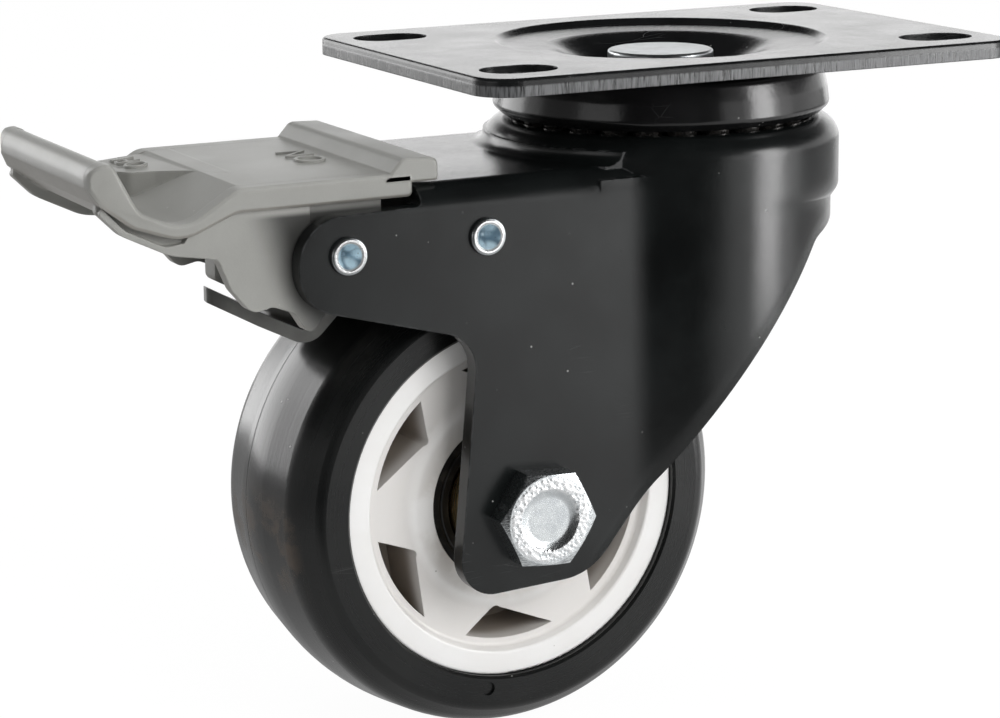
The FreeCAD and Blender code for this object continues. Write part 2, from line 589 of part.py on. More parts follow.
def wheel_core():
    """Off-white moulded centre: rim ring, recessed web with six pockets a side, and hub boss."""
    seat = BEARING_RADIUS + BOND_GAP
    seat_depth = BOSS_FACE - SEAL_THICKNESS - BEARING_WIDTH
    side = [(RIM_RADIUS, RIM_FACE, 0.4), (RIM_INNER_RADIUS, RIM_FACE, 0.4),
            (RIM_INNER_RADIUS - 0.5, WEB_FACE, 0.6), (HUB_BOSS_RADIUS + HUB_BOSS_SLOPE, WEB_FACE, 1.5),
            (HUB_BOSS_RADIUS, BOSS_FACE, 1.5), (seat, BOSS_FACE, 0), (seat, seat_depth, 0),
            (CONE_RADIUS - 2, seat_depth, 0)]
    other = [(a, -b, radius) for a, b, radius in reversed(side)]
    core = turned_axle(side + other)
    window = core_window()
    pockets = []
    for index in range(WINDOW_COUNT):
        pocket = window.copy()
        pocket.rotate(Vector(AXLE_X, 0, AXLE_Z), Vector(0, 1, 0), -(WINDOW_PHASE + index * 360 / WINDOW_COUNT))
        pockets.append(pocket)
        pockets.append(mirrored_y(pocket))
    return core.cut(pockets)


def bearing_rings():
    """Outer rings of the two hub bearings."""
    outer_face = BOSS_FACE - SEAL_THICKNESS
    inner = BEARING_RADIUS - BEARING_WALL
    ring = turned_axle([(inner, outer_face - BEARING_WIDTH, 0), (BEARING_RADIUS, outer_face - BEARING_WIDTH, 0),
                        (BEARING_RADIUS, outer_face, 0), (inner, outer_face, 0)])
    return Part.makeCompound([ring, mirrored_y(ring)])


def dust_seals():
    """Black seal washers over the bearings, each with a fine groove."""
    inner = CONE_RADIUS + SEAL_PLAY
    groove_at = BEARING_RADIUS - 1.0
    back = BOSS_FACE - SEAL_THICKNESS
    ring = turned_axle([(inner, back, 0), (BEARING_RADIUS, back, 0), (BEARING_RADIUS, BOSS_FACE, 0),
                        (groove_at, BOSS_FACE, 0), (groove_at - SEAL_GROOVE, BOSS_FACE - SEAL_GROOVE, 0),
                        (groove_at - 2 * SEAL_GROOVE, BOSS_FACE, 0), (inner, BOSS_FACE, 0)])
    return Part.makeCompound([ring, mirrored_y(ring)])


def hub_cones():
    """Brass-coloured spacer cones between the cheeks and the bearings."""
    bore = AXLE_RADIUS + PIN_FIT
    shoulder = BOSS_FACE - SEAL_THICKNESS
    neck_end = shoulder - BEARING_WIDTH
    cone = turned_axle([(bore, neck_end, 0), (CONE_NECK_RADIUS, neck_end, 0), (CONE_NECK_RADIUS, shoulder, 0),
                        (CONE_RADIUS, shoulder, 0.3), (CONE_RADIUS, CHEEK_INNER - 1.0, 0.5),
                        (CONE_RADIUS - 1.0, CHEEK_INNER, 0.3), (bore, CHEEK_INNER, 0)])
    return Part.makeCompound([cone, mirrored_y(cone)])


def axle_sleeve():
    """Tube that keeps the two cones apart."""
    half = BOSS_FACE - SEAL_THICKNESS - BEARING_WIDTH
    tube = cross_bar(SLEEVE_RADIUS, AXLE_X, AXLE_Z, -half, half)
    return tube.cut(cross_bar(AXLE_RADIUS + PIN_FIT, AXLE_X, AXLE_Z, -half - 1, half + 1))


def leaf_sleeve():
    """Spacer tube on the rear rivet, which the leaf rocks on."""
    tube = cross_bar(LEAF_SLEEVE_RADIUS, LEAF_PIVOT_X, LEAF_PIVOT_Z, -CHEEK_INNER, CHEEK_INNER)
    return tube.cut(cross_bar(RIVET_RADIUS + PIN_FIT, LEAF_PIVOT_X, LEAF_PIVOT_Z, -CHEEK_OUTER, CHEEK_OUTER))


def leaf_path():
    """Centre line of the leaf in X and Z as (x, z, bend radius), front tip first."""
    wrap = LEAF_SLEEVE_RADIUS + LEAF_FIT + LEAF_THICKNESS / 2
    turn = math.radians(LEAF_RISE + LEAF_FALL)
    towards = math.radians(90 + (LEAF_RISE - LEAF_FALL) / 2)
    reach = wrap / math.cos(turn / 2)
    crest = (LEAF_PIVOT_X + reach * math.cos(towards), LEAF_PIVOT_Z + reach * math.sin(towards), wrap)
    belly_x = LEAF_PIVOT_X - LEAF_BELLY_SETBACK
    belly_z = crest[1] - (crest[0] - belly_x) * math.tan(math.radians(LEAF_RISE))
    heel_x = crest[0] + (crest[1] - LEAF_TONGUE_Z) / math.tan(math.radians(LEAF_FALL))
    return [(LEAF_TIP_X, LEAF_TIP_Z, 0), (LEAF_TIP_X + 8.8, belly_z + 3.8, 6.0), (belly_x, belly_z, 3.0),
            crest, (heel_x, LEAF_TONGUE_Z, 3.0), (LEAF_TONGUE_END_X, LEAF_TONGUE_Z, 0)]


def strip_outline(path, thickness):
    """Both faces of a bent strip, as one closed outline of rounded corners."""
    left = []
    right = []
    half = thickness / 2
    for index, (a, b, radius) in enumerate(path):
        here = Vector(a, b, 0)
        into = here - Vector(path[index - 1][0], path[index - 1][1], 0) if index > 0 else None
        out = Vector(path[index + 1][0], path[index + 1][1], 0) - here if index < len(path) - 1 else None
        into = into if into is not None else out
        out = out if out is not None else into
        into.normalize()
        out = Vector(out.x, out.y, 0)
        out.normalize()
        normal_in = Vector(-into.y, into.x, 0)
        normal_out = Vector(-out.y, out.x, 0)
        mitre = normal_in + normal_out
        mitre.normalize()
        reach = half / mitre.dot(normal_in)
        bend = into.cross(out).z
        grow = half if bend < 0 else -half
        left.append((a + mitre.x * reach, b + mitre.y * reach, max(radius + grow, 0) if radius else 0))
        right.append((a - mitre.x * reach, b - mitre.y * reach, max(radius - grow, 0) if radius else 0))
    return left + right[::-1]


def brake_leaf():
    """Spring strip that dips under the pedal's cams, rides over the rear sleeve and ends in a tongue."""
    strip = plate_xz(strip_outline(leaf_path(), LEAF_THICKNESS), -LEAF_WIDTH / 2, LEAF_WIDTH / 2)
    broad = LEAF_WIDTH / 2
    tongue = LEAF_TONGUE_WIDTH / 2
    neck_x = LEAF_PIVOT_X + 6.0
    plan = [(LEAF_TIP_X + LEAF_TIP_SKEW, broad, 1.5), (neck_x, broad, 1.5), (neck_x + 3, tongue, 1.5),
            (LEAF_TONGUE_END_X + 2, tongue, 0), (LEAF_TONGUE_END_X + 2, -tongue, 0),
            (neck_x + 3, -tongue, 1.5), (neck_x, -broad, 1.5), (LEAF_TIP_X + 0.3, -broad, 0.8)]
    return strip.common(plate_xy(plan, LEAF_TIP_Z - 20, WEB_TOP))


def toe_skin():
    """Side view of the pedal's deck, scoop and rolled lip."""
    return [(DECK_REAR_X, DECK_TOP, 0), (-80.3, DECK_TOP, 4), (-88.6, DECK_TOP - 5.3, 6), (-95.2, -16.6, 4),
            (-99.1, -9.2, 1.3), (-102.6, -9.3, 2.3), (-101.7, -16.2, 0.8), (-96.5, -18.6, 6),
            (-88.9, DECK_BOTTOM - 4.2, 7), (-80.6, DECK_BOTTOM, 5), (DECK_REAR_X, DECK_BOTTOM, 0.8)]


def scoop_cut():
    """Inner dish of the scoop, below its two side rims."""
    return [(-79.0, DECK_TOP + 3, 0), (-79.6, DECK_TOP, 0.5), (-88.6, DECK_TOP - 5.3 - SCOOP_DEPTH, 6.5),
            (-95.4, -17.4, 4), (-98.3, -11.8, 0.5), (-97.4, -8.0, 0), (-90.0, DECK_TOP + 3, 0)]


def side_rib():
    """Side view of the pedal's outer ribs, from the lip to the cams."""
    return [(DECK_REAR_X - 4.2, DECK_BOTTOM + 1, 0), (-80.6, DECK_BOTTOM + 1, 0), (-88.9, DECK_BOTTOM - 3.2, 4),
            (-96.5, -17.4, 4), (-100.9, -15.0, 0), (-100.7, -16.6, 0.8), (-97.4, -19.8, 5), (-90.0, -23.2, 8),
            (-83.2, -24.4, 1.2), (-81.4, -29.0, 3), (-78.4, -32.6, 2.0), (-75.2, -31.9, 2), (-71.9, -33.2, 2),
            (-69.5, -37.0, 1.2), (-66.4, -33.0, 2), (-60.2, -29.8, 3.5), (DECK_REAR_X - 4.2, -21.0, 3)]


def cam_rib():
    """Side view of the middle rib, whose cam presses the leaf."""
    return [(DECK_REAR_X - 4.2, DECK_BOTTOM + 1, 0), (-76.9, DECK_BOTTOM + 1, 0), (-76.9, -31.1, 1.2),
            (-64.0, -37.8, 1.2), (-63.0, -33.4, 2), (-60.2, -29.8, 3.5), (DECK_REAR_X - 4.2, -21.0, 3)]


def toe_groove():
    """Crescent sunk in the outer ribs, between the skin and the bead along the rib's lower edge."""
    return [(-83.0, DECK_BOTTOM - 3.0, 0.5), (-88.9, DECK_BOTTOM - 4.2, 7), (-96.5, -18.6, 5),
            (-100.2, -16.4, 0), (-97.2, -18.9, 5), (-90.0, -22.1, 8), (-84.2, -23.2, 0.8)]


def brake_pedal():
    """Moulded pedal: deck, scoop, lip, hump, outer ribs, cam ribs and pivot tube in one piece."""
    half = CHEEK_INNER + PEDAL_OVERHANG
    skin = plate_xz(toe_skin(), -half, half)
    skin = skin.cut(plate_xz(scoop_cut(), -half + SCOOP_RIM, half - SCOOP_RIM))
    plan = [(HUMP_REAR_X, half, 0), (LIP_FRONT_X, half, LIP_CORNER_RADIUS),
            (LIP_FRONT_X, -half, LIP_CORNER_RADIUS), (HUMP_REAR_X, -half, 0)]
    skin = skin.common(plate_xy(plan, 2 * DECK_BOTTOM, 0))
    hump_top = DECK_TOP + HUMP_HEIGHT
    hump = plate_xz([(DECK_REAR_X - 6.2, DECK_TOP - 0.5, 0), (DECK_REAR_X - 5.2, DECK_TOP, 1.5),
                     (DECK_REAR_X - 0.8, hump_top, 4.0), (HUMP_REAR_X, hump_top - 0.2, 2.0),
                     (HUMP_REAR_X, HUMP_BOTTOM, 0.4), (DECK_REAR_X - 1, HUMP_BOTTOM, 0),
                     (DECK_REAR_X - 6.2, HUMP_BOTTOM, 0)], -half, half)
    outer = plate_xz(side_rib(), PEDAL_BODY_HALF - PEDAL_WALL, PEDAL_BODY_HALF)
    outer = outer.cut(plate_xz(toe_groove(), PEDAL_BODY_HALF - GROOVE_DEPTH, PEDAL_BODY_HALF + 1))
    near_skirt = mirrored_y(outer)
    outer.translate(Vector(FAR_SKIRT_SETBACK, 0, 0))
    ribs = [outer, near_skirt, plate_xz(cam_rib(), -PEDAL_RIB / 2, PEDAL_RIB / 2)]
    hub = cross_bar(PEDAL_HUB_RADIUS, PEDAL_PIVOT_X, PEDAL_PIVOT_Z, -PEDAL_BODY_HALF, PEDAL_BODY_HALF)
    body = fuse([skin, hump, hub] + ribs)
    bore = cross_bar(RIVET_RADIUS + 2 * PIN_FIT, PEDAL_PIVOT_X, PEDAL_PIVOT_Z, -half, half)
    return body.cut(bore)


os.makedirs("parts", exist_ok=True)
export("top_plate", top_plate())
export("kingpin", kingpin())
export("upper_race_cup", upper_race_cup())
export("lower_race_cup", lower_race_cup())
export("lock_ring", lock_ring())
export("upper_balls", ball_row(BALL_RADIUS, BALL_PITCH_RADIUS, BALL_HEIGHT, BALL_COUNT))
export("lower_balls", ball_row(SMALL_BALL_RADIUS, SMALL_BALL_PITCH_RADIUS, SMALL_BALL_Z, SMALL_BALL_COUNT))
export("fork", fork())
export("brake_rivets", Part.makeCompound([brake_rivet(PEDAL_PIVOT_X, PEDAL_PIVOT_Z),
                                          brake_rivet(LEAF_PIVOT_X, LEAF_PIVOT_Z)]))
export("leaf_sleeve", leaf_sleeve())
export("axle_bolt", axle_bolt())
export("axle_nut", axle_nut())
export("axle_sleeve", axle_sleeve())
export("hub_cones", hub_cones())
export("tread", tread())
export("wheel_core", wheel_core())
export("bearing_rings", bearing_rings())
export("dust_seals", dust_seals())
export("brake_leaf", brake_leaf())
export("brake_pedal", brake_pedal())
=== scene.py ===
# %% [markdown]
# A swivel castor with a foot brake: a black pressed-steel plate and fork, a dark tyre on an
# off-white centre, zinc fasteners and a grey plastic pedal. The shapes come from the CAD frame.
# This lesson gives them their finishes, moulds the pedal more finely, adds its raised letters
# and lights them like a studio photograph.

# %% Load the frame
import bmesh
import bpy
import math
import numpy as np
from mathutils import Matrix, Vector


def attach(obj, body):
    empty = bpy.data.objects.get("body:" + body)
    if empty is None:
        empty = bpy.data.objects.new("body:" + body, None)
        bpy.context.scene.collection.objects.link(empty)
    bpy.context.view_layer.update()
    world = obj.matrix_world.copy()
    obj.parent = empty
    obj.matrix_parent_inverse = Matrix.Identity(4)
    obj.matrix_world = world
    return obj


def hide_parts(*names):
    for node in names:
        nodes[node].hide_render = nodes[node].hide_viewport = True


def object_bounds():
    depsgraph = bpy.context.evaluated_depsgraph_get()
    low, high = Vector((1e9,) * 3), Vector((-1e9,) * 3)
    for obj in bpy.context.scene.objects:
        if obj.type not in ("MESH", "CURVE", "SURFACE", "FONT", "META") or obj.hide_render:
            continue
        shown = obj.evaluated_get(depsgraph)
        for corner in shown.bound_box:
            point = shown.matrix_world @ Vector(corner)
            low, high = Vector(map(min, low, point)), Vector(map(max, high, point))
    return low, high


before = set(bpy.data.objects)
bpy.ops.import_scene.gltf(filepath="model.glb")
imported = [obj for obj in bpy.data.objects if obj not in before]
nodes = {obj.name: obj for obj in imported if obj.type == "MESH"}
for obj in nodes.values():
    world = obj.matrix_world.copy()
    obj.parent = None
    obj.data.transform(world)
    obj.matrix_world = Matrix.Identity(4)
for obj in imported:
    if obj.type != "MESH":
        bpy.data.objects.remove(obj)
cad_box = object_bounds()
scene = bpy.context.scene
scene.view_settings.view_transform = "Standard"
MM = 0.001

# %% [markdown]
# The camera is where the photograph's was: in front, to the left and a little above the wheel.
# Its place was found by matching the plate's corners, its slots and the wheel's rim, so it is
# given here as a position, three angles and a lens, with a small shift for the framing.

# %% Camera
EYE = (-0.24053, -0.42504, 0.05969)
YAW, PITCH, ROLL = math.radians(26.18), math.radians(13.05), math.radians(-0.71)
SENSOR, FOCAL_LENGTH = 36.0, 111.709
forward = Vector((math.sin(YAW) * math.cos(PITCH), math.cos(YAW) * math.cos(PITCH), -math.sin(PITCH)))
level = Vector((math.cos(YAW), -math.sin(YAW), 0.0))
upward = level.cross(forward)
right = level * math.cos(ROLL) + upward * math.sin(ROLL)
top = upward * math.cos(ROLL) - level * math.sin(ROLL)
lens = bpy.data.cameras.new("camera")
lens.sensor_width, lens.lens = SENSOR, FOCAL_LENGTH
lens.shift_x, lens.shift_y = 0.0155, 0.0101
lens.clip_start = 0.01
camera = bpy.data.objects.new("camera", lens)
scene.collection.objects.link(camera)
looking = Matrix((right, top, -forward)).transposed().to_4x4()
camera.matrix_world = Matrix.Translation(EYE) @ looking
scene.camera = camera
print("camera distance:", round(camera.location.length, 3), "m")

# %% [markdown]
# Materials are written as arithmetic. `Sock` wraps an output socket and turns +, - and * into
# Math nodes, so a mask or a bump can be read as a formula. Its `step` is the workhorse: it turns
# any height, distance or noise into a mask with a soft border.

# %% Shader maths
class Sock:
    """An output socket that can be used in arithmetic with numbers and other sockets."""

    def __init__(self, finish, socket):
        self.finish = finish
        self.socket = socket

    def math(self, operation, *others):
        inputs = {0: self, **dict(enumerate(others, 1))}
        return self.finish.node("ShaderNodeMath", {"operation": operation}, inputs)

    def __add__(self, other):
        return self.math("ADD", other)

    def __sub__(self, other):
        return self.math("SUBTRACT", other)

    def __mul__(self, other):
        return self.math("MULTIPLY", other)

    def __rsub__(self, other):
        return self.finish.node("ShaderNodeMath", {"operation": "SUBTRACT"}, {0: other, 1: self})

    __radd__ = __add__
    __rmul__ = __mul__

    def step(self, low, high):
        """0 below low, 1 above high, smooth between them; it falls if low is above high."""
        start, end = sorted((low, high))
        before, after = (0.0, 1.0) if low < high else (1.0, 0.0)
        return self.finish.node("ShaderNodeMapRange", {"interpolation_type": "SMOOTHSTEP"},
                                {"Value": self, "From Min": start, "From Max": end,
                                 "To Min": before, "To Max": after})


print("sockets add, subtract and multiply")

# %% [markdown]
# `Finish` holds one material's nodes. Everything in it is one call to `node`, which sets the
# node's own settings first and then the values or links of its inputs. Patterns are placed by
# the object's own coordinates in millimetres, so their sizes can be read off the real part.

# %% Finish
class Finish:
    """One node tree, with the calls that the finishes below are written in."""

    def __init__(self, name, tree=None):
        if tree is None:
            self.material = bpy.data.materials.new(name)
            self.material.use_nodes = True
            tree = self.material.node_tree
        tree.nodes.clear()
        self.tree = tree

    def node(self, kind, settings=None, inputs=None, out=0):
        made = self.tree.nodes.new(kind)
        for key, value in (settings or {}).items():
            setattr(made, key, value)
        for key, value in (inputs or {}).items():
            if isinstance(value, Sock):
                self.tree.links.new(value.socket, made.inputs[key])
            else:
                made.inputs[key].default_value = value
        return Sock(self, made.outputs[out]) if made.outputs else None

    def place(self):
        """The point on the object, in millimetres."""
        spot = self.node("ShaderNodeTexCoord", out="Object")
        return self.node("ShaderNodeVectorMath", {"operation": "SCALE"}, {0: spot, "Scale": 1000.0})

    def xyz(self, vector):
        parts = self.tree.nodes.new("ShaderNodeSeparateXYZ")
        self.tree.links.new(vector.socket, parts.inputs[0])
        return [Sock(self, output) for output in parts.outputs]

    def join(self, x, y, z):
        return self.node("ShaderNodeCombineXYZ", {}, {0: x, 1: y, 2: z})

    def stretch(self, vector, scale, turn=(0.0, 0.0, 0.0)):
        return self.node("ShaderNodeMapping", {}, {"Vector": vector, "Scale": scale, "Rotation": turn})

    def noise(self, vector, scale, detail=3.0):
        return self.node("ShaderNodeTexNoise", {}, {"Vector": vector, "Scale": scale, "Detail": detail,
                                                    "Roughness": 0.55})

    def cells(self, vector, scale, feature="F1"):
        return self.node("ShaderNodeTexVoronoi", {"feature": feature}, {"Vector": vector, "Scale": scale})

    def tint(self, amount, first, second):
        """From the first colour to the second by the amount."""
        first, second = [ink if isinstance(ink, Sock) else (*ink, 1.0) for ink in (first, second)]
        return self.node("ShaderNodeMix", {"data_type": "RGBA"}, {0: amount, 6: first, 7: second}, out=2)

    def blend(self, amount, first, second):
        """From the first direction to the second by the amount."""
        return self.node("ShaderNodeMix", {"data_type": "VECTOR"}, {0: amount, 4: first, 5: second}, out=1)

    def relief(self, height, distance, strength=1.0, under=None):
        """A bump of that height, where distance is in millimetres."""
        inputs = {"Height": height, "Distance": distance * MM, "Strength": strength}
        if under is not None:
            inputs["Normal"] = under
        return self.node("ShaderNodeBump", {}, inputs)

    def soft_edges(self, radius):
        """A normal that is rounded over sharp edges, with the radius in millimetres."""
        return self.node("ShaderNodeBevel", {"samples": 4}, {"Radius": radius * MM})

    def edge_mask(self, radius):
        """Near 1 on outward edges and 0 on flats, from how far a rounded normal leans."""
        ends = {0: self.soft_edges(radius), 1: self.node("ShaderNodeNewGeometry", out="Normal")}
        lean = self.node("ShaderNodeVectorMath", {"operation": "DOT_PRODUCT"}, ends, out="Value")
        return lean.step(0.97, 0.80)

    def facing(self):
        """The surface's own direction in the object's frame, as x, y and z."""
        return self.xyz(self.node("ShaderNodeNewGeometry", out="Normal"))

    def surface(self, **sockets):
        names = {key.replace("_", " "): value for key, value in sockets.items()}
        shader = self.node("ShaderNodeBsdfPrincipled", {}, names)
        self.node("ShaderNodeOutputMaterial", {}, {"Surface": shader})
        return self.material


finishes = {}
print("finish helpers ready")

# %% [markdown]
# Handling leaves fine scratches and specks of dust on every black surface here. A scratch is a
# thin line between long stretched cells, and a speck is the middle of a small cell that a second
# noise has let through, so both stay sparse.

# %% Scratches and specks
def scratches(finish, spot, amount=0.5, seed=0.0):
    """Thin sparse lines in two directions, 0 to 1."""
    total = None
    for turn in (0.6 + seed, 2.1 + seed):
        long_cells = finish.stretch(spot, (0.035, 0.55, 0.55), (0.3 * turn, 0.2, turn))
        line = finish.cells(long_cells, 1.0, "DISTANCE_TO_EDGE").step(0.012, 0.0)
        patches = finish.stretch(spot, (0.06, 0.06, 0.06), (turn, 0.0, 0.0))
        mark = line * finish.noise(patches, 1.0, 2.0).step(0.62, 0.72)
        total = mark if total is None else total + mark
    return total * amount


def specks(finish, spot, size=0.16, share=0.1):
    """Sparse round specks of dust, with the size in millimetres."""
    cell = 1.0 / (size * 9.0)
    grow = finish.noise(spot, cell * 1.7, 1.0) * 0.12
    dot = (finish.cells(spot, cell) - grow).step(0.06, 0.01)
    chosen = finish.noise(spot, cell * 0.6, 1.0).step(0.68 - share * 0.3, 0.74 - share * 0.3)
    return dot * chosen


print("wear helpers ready")

# %% [markdown]
# The fork, cups, ring and leaf are steel with a thin black coat. The coat is nearly black and
# smooth, so its brightness comes from what it mirrors: white from the back, dark from the right.
# A fine waviness keeps the mirror soft, and worn edges let a little grey through. The fork's neck
# is pressed in one sweep, so there the normals are rounded over a much larger radius.

# %% Black coat
def black_coat(name, colour, gloss, wave=0.02, wear=0.35, dust=0.5, pits=0.0, pressed=0.0):
    """The coat's colour, roughness and normal; pressed is the neck's radius in millimetres."""
    finish = Finish(name)
    spot = finish.place()
    cloud = finish.noise(spot, 0.09, 4.0)
    grain = finish.noise(spot, 1.8, 3.0)
    edge = finish.edge_mask(0.5) * finish.noise(spot, 0.7, 3.0).step(0.42, 0.62)
    scuff = scratches(finish, spot, 0.45)
    dots = specks(finish, spot) * dust
    lighter = tuple(value * 2.1 for value in colour)
    base = finish.tint(cloud.step(0.3, 0.7), colour, lighter)
    base = finish.tint(edge * wear, base, (0.16, 0.16, 0.165))
    base = finish.tint(scuff, base, (0.12, 0.12, 0.12))
    base = finish.tint(dots, base, (0.62, 0.62, 0.6))
    rough = gloss + (cloud - 0.5) * 0.10 + (grain - 0.5) * 0.08 + scuff * 0.2 + dots * 0.3
    height = grain * 0.35 + finish.noise(spot, 0.35, 2.0)
    if pits:
        hollow = finish.cells(spot, 0.55).step(0.34, 0.0) * finish.noise(spot, 0.16, 2.0).step(0.56, 0.66)
        height = height - hollow * pits
    under = finish.soft_edges(0.25)
    if pressed:
        x, _, z = finish.xyz(spot)
        nz = finish.facing()[2]
        neck = (nz * nz).step(0.30, 0.12) * z.step(-17.0, -20.0) * x.step(-30.0, -24.0)
        under = finish.blend(neck, under, finish.soft_edges(pressed))
    bump = finish.relief(height, wave, 1.0, under)
    return finish, base, rough, bump


def plain_black(name, colour, gloss, **more):
    finish, base, rough, bump = black_coat(name, colour, gloss, **more)
    return finish.surface(Base_Color=base, Roughness=rough, Normal=bump, IOR=1.47)


finishes["fork"] = plain_black("fork coat", (0.0035, 0.0042, 0.0042), 0.24, wave=0.010, dust=0.35,
                               pressed=3.5)
cup_coat = plain_black("cup coat", (0.0040, 0.0040, 0.0042), 0.20, wave=0.030, wear=0.7, dust=0.35)
finishes.update({name: cup_coat for name in ("upper_race_cup", "lower_race_cup", "lock_ring")})
finishes["brake_leaf"] = plain_black("spring steel", (0.075, 0.075, 0.070), 0.38, wave=0.020, wear=1.0)
print("black coats:", sorted(finishes))

# %% [markdown]
# The plate is coated before it is handled, but its side still shows how it was cut: shiny and
# rolled above, torn and grey below. The tear is a noise stretched upright, kept to the side faces
# by the surface's own direction and to the lower half by its height.

# %% Plate
def plate_black():
    finish, base, rough, bump = black_coat("plate coat", (0.0045, 0.0048, 0.0050), 0.24, wave=0.014,
                                           wear=0.5, dust=0.4, pits=1.2)
    spot = finish.place()
    z = finish.xyz(spot)[2]
    nz = finish.facing()[2]
    side = (nz * nz).step(0.45, 0.15) * z.step(-2.75, -2.6) * z.step(-0.95, -1.35)
    streak = finish.noise(finish.stretch(spot, (3.2, 3.2, 0.25)), 1.0, 4.0)
    torn = side * streak.step(0.30, 0.62)
    base = finish.tint(torn, base, (0.105, 0.107, 0.11))
    rough = rough + torn * 0.18
    height = finish.relief(streak * side, 0.06, 0.8, bump)
    return finish.surface(Base_Color=base, Roughness=rough, Normal=height, IOR=1.47)


finishes["top_plate"] = plate_black()
print("plate coat has a torn lower edge")

# %% [markdown]
# Zinc plating is a bright, slightly blue metal with a fine crystal grain. On the pins and the
# sleeves it is plain: soft cells give the grain, a finer noise the satin, and a few scratches the
# handling.

# %% Zinc pins
def zinc(name, colour, rough, hammer):
    finish = Finish(name)
    spot = finish.place()
    cloud = finish.noise(spot, 0.35, 4.0)
    grain = finish.cells(spot, 0.75, "SMOOTH_F1")
    fine = finish.noise(spot, 4.0, 3.0)
    scuff = scratches(finish, spot, 0.7, 1.0)
    base = finish.tint(cloud.step(0.35, 0.7), colour, tuple(value * 0.84 for value in colour))
    base = finish.tint(scuff, base, tuple(value * 0.6 for value in colour))
    bump = finish.relief(grain * 0.8 + fine * 0.25, hammer, 1.0, finish.soft_edges(0.2))
    return finish.surface(Base_Color=base, Metallic=1.0, Roughness=rough + (fine - 0.5) * 0.2 + scuff * 0.15,
                          Normal=bump)


zinc_pin = zinc("zinc pin", (0.66, 0.69, 0.70), rough=0.34, hammer=0.02)
finishes.update({name: zinc_pin for name in ("kingpin", "leaf_sleeve", "axle_sleeve")})
print("zinc pins ready")

# %% [markdown]
# The cones and bearing rings in the hub are turned on a lathe, which leaves fine rings across the
# axle. A noise that is squeezed along the axle gives them.

# %% Turned rings
def turned_metal(name, colour, rough):
    finish = Finish(name)
    spot = finish.place()
    fine = finish.noise(finish.stretch(spot, (0.4, 9.0, 0.4)), 1.0, 3.0)
    cloud = finish.noise(spot, 0.25, 3.0)
    base = finish.tint(cloud.step(0.35, 0.7), colour, tuple(value * 0.55 for value in colour))
    bump = finish.relief(fine, 0.02, 1.0, finish.soft_edges(0.15))
    return finish.surface(Base_Color=base, Metallic=1.0, Roughness=rough + (fine - 0.5) * 0.2, Normal=bump)


finishes["hub_cones"] = turned_metal("brass cone", (0.85, 0.62, 0.30), 0.28)
finishes["bearing_rings"] = turned_metal("bearing ring", (0.55, 0.55, 0.55), 0.25)
print("turned rings ready")

# %% [markdown]
# A rivet's head is a bright ring that the press has squeezed up round a bluish cone. Both lie at
# a distance from the rivet's own axis, so the finish measures the distance to the nearer rivet
# and cuts rings from it. Broad cells in the cone stand for its facets.

# %% Rivets
AXLE = (-34.3, -67.5)
RIVETS = ((-64.7, -24.9), (-42.4, -24.1))


def distance(x, z, centre):
    """How far a point is, across the castor's side, from a centre: the root of the summed squares."""
    dx, dz = x - centre[0], z - centre[1]
    return dx, dz, (dx * dx + dz * dz).math("SQRT")


def rivet_zinc():
    finish = Finish("rivet zinc")
    spot = finish.place()
    x, _, z = finish.xyz(spot)
    pedal_rivet, leaf_rivet = [distance(x, z, centre)[2] for centre in RIVETS]
    reach = pedal_rivet.math("MINIMUM", leaf_rivet)
    hollow = reach.step(1.95, 1.80)
    crest = reach.step(2.02, 2.18) * reach.step(2.55, 2.38)
    facet = finish.cells(finish.stretch(spot, (0.62, 0.2, 0.62)), 1.0).step(0.25, 0.75)
    fine = finish.noise(spot, 4.0, 3.0)
    ring = finish.tint(crest, (0.50, 0.52, 0.53), (0.97, 0.98, 0.98))
    blue = finish.tint(facet, (0.62, 0.78, 0.86), (0.16, 0.24, 0.30))
    base = finish.tint(hollow, ring, blue)
    bump = finish.relief(crest * 2.0 + fine * 0.3, 0.06, 1.0, finish.soft_edges(0.15))
    return finish.surface(Base_Color=base, Metallic=1.0 - hollow * 0.55, Roughness=0.30 + (fine - 0.5) * 0.2,
                          Normal=bump)


finishes["brake_rivets"] = rivet_zinc()
print("rivet rings lie at", RIVETS, "mm")

# %% [markdown]
# The bolt's head is hammered bright on the ring round its bowl, and the spanner has scratched its
# corners. Small cells of slightly different slope give the glitter, and a noise that is long
# across the corners gives the scratches.

# %% Bolt and nut
def around_axle(finish, spot):
    """Distance from the wheel's axle in millimetres, the turn about it from 0 to 1, and y."""
    x, y, z = finish.xyz(spot)
    dx, dz, radius = distance(x, z, AXLE)
    turn = dz.math("ARCTAN2", dx) * (0.5 / math.pi) + 0.5
    return radius, turn, y


def bolt_zinc():
    finish = Finish("bolt zinc")
    spot = finish.place()
    radius = around_axle(finish, spot)[0]
    cloud = finish.noise(spot, 0.5, 4.0)
    chips = finish.cells(spot, 1.5)
    fine = finish.noise(spot, 5.0, 3.0)
    ring = radius.step(4.2, 4.9) * radius.step(6.9, 6.1)
    corner = radius.step(6.5, 7.0)
    brushed = finish.noise(finish.stretch(spot, (0.5, 4.0, 4.0), (0.0, 0.6, 0.0)), 1.0, 3.0)
    base = finish.tint(cloud.step(0.35, 0.7), (0.78, 0.81, 0.82), (0.64, 0.67, 0.69))
    base = finish.tint(ring * chips.step(0.25, 0.55), base, (0.97, 0.98, 0.99))
    base = finish.tint(corner * brushed.step(0.42, 0.60), base, (0.42, 0.44, 0.45))
    height = ring * chips * 2.2 + fine * 0.25 + corner * brushed * 1.2
    bump = finish.relief(height, 0.045, 1.0, finish.soft_edges(0.2))
    return finish.surface(Base_Color=base, Metallic=1.0, Roughness=0.27 + (fine - 0.5) * 0.25, Normal=bump)


finishes["axle_bolt"] = finishes["axle_nut"] = bolt_zinc()
print("bolt and nut ready")

